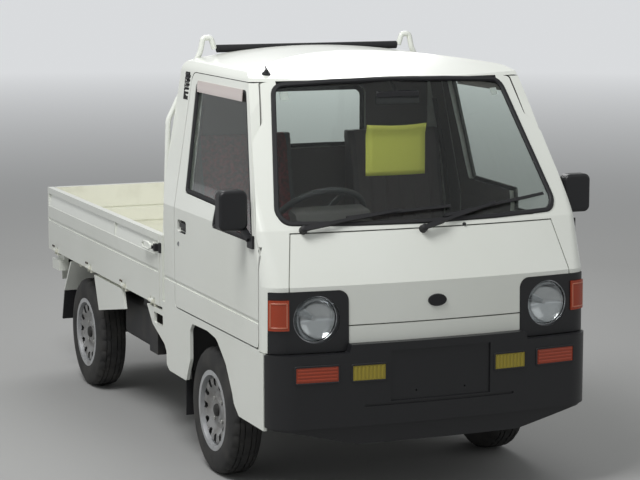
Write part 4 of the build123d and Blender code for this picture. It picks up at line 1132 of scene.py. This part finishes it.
# Rear lamps: amber, clear and stop fields over the red, each with level ribs, and a dark rim
REAR_LOW, REAR_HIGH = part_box("rear_lamps")
REAR_FACE = REAR_HIGH.y
REAR_OUTER = REAR_HIGH.x
REAR_INNER = REAR_OUTER - 0.180
FIELD_EDGE = 0.006
FIELD_PARTS = 7
RIB_HALF = 0.0012
REAR_FIELDS = (
    # name, look, inner x, outer x, top
    ("amber", orange, REAR_OUTER - 0.062, REAR_OUTER - 0.006, REAR_HIGH.z - FIELD_EDGE),
    ("clear", pale_lens, REAR_INNER + 0.006, REAR_INNER + 0.052, middle("rear_lamps").z),
    ("stop", red, REAR_INNER + 0.056, REAR_OUTER - 0.066, REAR_HIGH.z - FIELD_EDGE),
)
for tag, sign in SIDES:
    low_z = REAR_LOW.z + FIELD_EDGE
    for name, look, inner, outer, high_z in REAR_FIELDS:
        bm = bmesh.new()
        xs = inner, outer
        add_side_box(bm, sign, xs, (REAR_FACE - 0.002, REAR_FACE + 0.0008), (low_z, high_z))
        for z in parted(low_z, high_z, FIELD_PARTS):
            add_side_box(bm, sign, xs, (REAR_FACE, REAR_FACE + 0.0014), (z - RIB_HALF, z + RIB_HALF))
        finish_piece(f"rear_{name}_{tag}", bm, look)
    bm = bmesh.new()
    outline = rectangle(sign * REAR_INNER, sign * REAR_OUTER, REAR_LOW.z, REAR_HIGH.z)
    points = [Vector((x, REAR_FACE - 0.006, z)) for x, z in rounded(outline, 0.006, 0.05)]
    add_sweep(bm, points, (0, 1, 0), bar_section(0.003, 0.003, -0.004, 0.007), closed=True)
    finish_piece(f"rear_rim_{tag}", bm, black)

# Tailgate catches with their bolts
TAIL_FACE = from_rear(["tailgate"], 0.30, 0.80)[0].y
CATCH_Z = 0.855
CATCH_PLATES = (((0.600, 0.655), (0.842, 0.868)), ((0.640, 0.668), (0.832, 0.878)))
CATCH_BOLTS = ((0.612, 0.007, 0.006, 16), (0.654, 0.005, 0.004, 6))
bm = bmesh.new()
for _, sign in reversed(SIDES):
    for xs, zs in CATCH_PLATES:
        add_side_box(bm, sign, xs, (TAIL_FACE - 0.014, TAIL_FACE + 0.0045), zs)
finish_piece("tail_catches", bm, white, "tailgate", bevel=0.0015)
bm = bmesh.new()
for _, sign in reversed(SIDES):
    for x, r, r_end, segments in CATCH_BOLTS:
        add_rod(bm, mirrored(sign, x, TAIL_FACE + 0.003, CATCH_Z),
                mirrored(sign, x, TAIL_FACE + 0.0065, CATCH_Z), r, r_end, segments)
finish_piece("tail_bolts", bm, dark_iron, "tailgate")

# Lamp over the place of the rear plate
PLATE_LAMP_HALF = 0.045
PLATE_LAMP_Z = (0.556, 0.578)
panel_face = from_rear(["under_bed_panels", "bed_deck"], 0.0, 0.56)[0].y
bm = bmesh.new()
add_box(bm, (-PLATE_LAMP_HALF, panel_face - 0.004, PLATE_LAMP_Z[0]),
        (PLATE_LAMP_HALF, panel_face + 0.004, PLATE_LAMP_Z[1]))
finish_piece("plate_lamp", bm, black, bevel=0.003)

# Floor that glows with distance and so runs into the pale backdrop
FLOOR_HALF = 300.0
GLOW_FROM = 5.0
GLOW_TO = 24.0
GLOW = 0.56
GLOW_COLOUR = (0.95, 0.97, 1.0, 1.0)
floor_look = shader("floor_pale", (0.36, 0.36, 0.355), 0.9)
tree = floor_look.node_tree
place = tree.nodes.new("ShaderNodeTexCoord")
away = tree.nodes.new("ShaderNodeVectorMath")
away.operation = "LENGTH"
glow = tree.nodes.new("ShaderNodeMapRange")
glow.inputs["From Min"].default_value = GLOW_FROM
glow.inputs["From Max"].default_value = GLOW_TO
glow.inputs["To Max"].default_value = GLOW
tree.links.new(place.outputs["Object"], away.inputs[0])
tree.links.new(away.outputs["Value"], glow.inputs["Value"])
tree.links.new(glow.outputs["Result"], tree.nodes["Principled BSDF"].inputs["Emission Strength"])
tree.nodes["Principled BSDF"].inputs["Emission Color"].default_value = GLOW_COLOUR
bm = bmesh.new()
bmesh.ops.create_grid(bm, x_segments=1, y_segments=1, size=FLOOR_HALF)
floor = new_object("floor", bm)
floor.data.materials.append(floor_look)

# World, lamps and camera
world = bpy.data.worlds.new("studio")
bpy.context.scene.world = world
world.use_nodes = True
world.node_tree.nodes["Background"].inputs["Color"].default_value = (0.86, 0.88, 0.88, 1.0)
world.node_tree.nodes["Background"].inputs["Strength"].default_value = 0.46
LAMPS = (
    # name, place, what it looks at, size in metres, power in watts
    ("key", (-2.9, -2.3, 6.0), (0, -0.3, 0.8), 2.4, 270),
    ("fill", (4.5, -4.5, 3.5), (0, 0, 0.8), 4.0, 14),
    ("back", (1.5, 4.5, 5.0), (0, 0.3, 0.8), 3.0, 130),
)
for name, at, look_at, size, power in LAMPS:
    lamp = bpy.data.lights.new(name, "AREA")
    lamp.energy = power
    lamp.size = size
    obj = bpy.data.objects.new(name, lamp)
    obj.location = at
    obj.rotation_mode = "QUATERNION"
    obj.rotation_quaternion = (Vector(look_at) - Vector(at)).to_track_quat("-Z", "Y")
    bpy.context.scene.collection.objects.link(obj)

eye = bpy.data.cameras.new("camera")
eye.lens = CAMERA_LENS
eye.sensor_width = SENSOR_WIDTH
eye.clip_end = 200
camera = bpy.data.objects.new("camera", eye)
camera.location = CAMERA_AT
camera.rotation_euler = (math.pi / 2 - CAMERA_PITCH, 0.0, -CAMERA_YAW)
bpy.context.scene.collection.objects.link(camera)
bpy.context.scene.camera = camera
bpy.context.scene.view_settings.view_transform = "Standard"
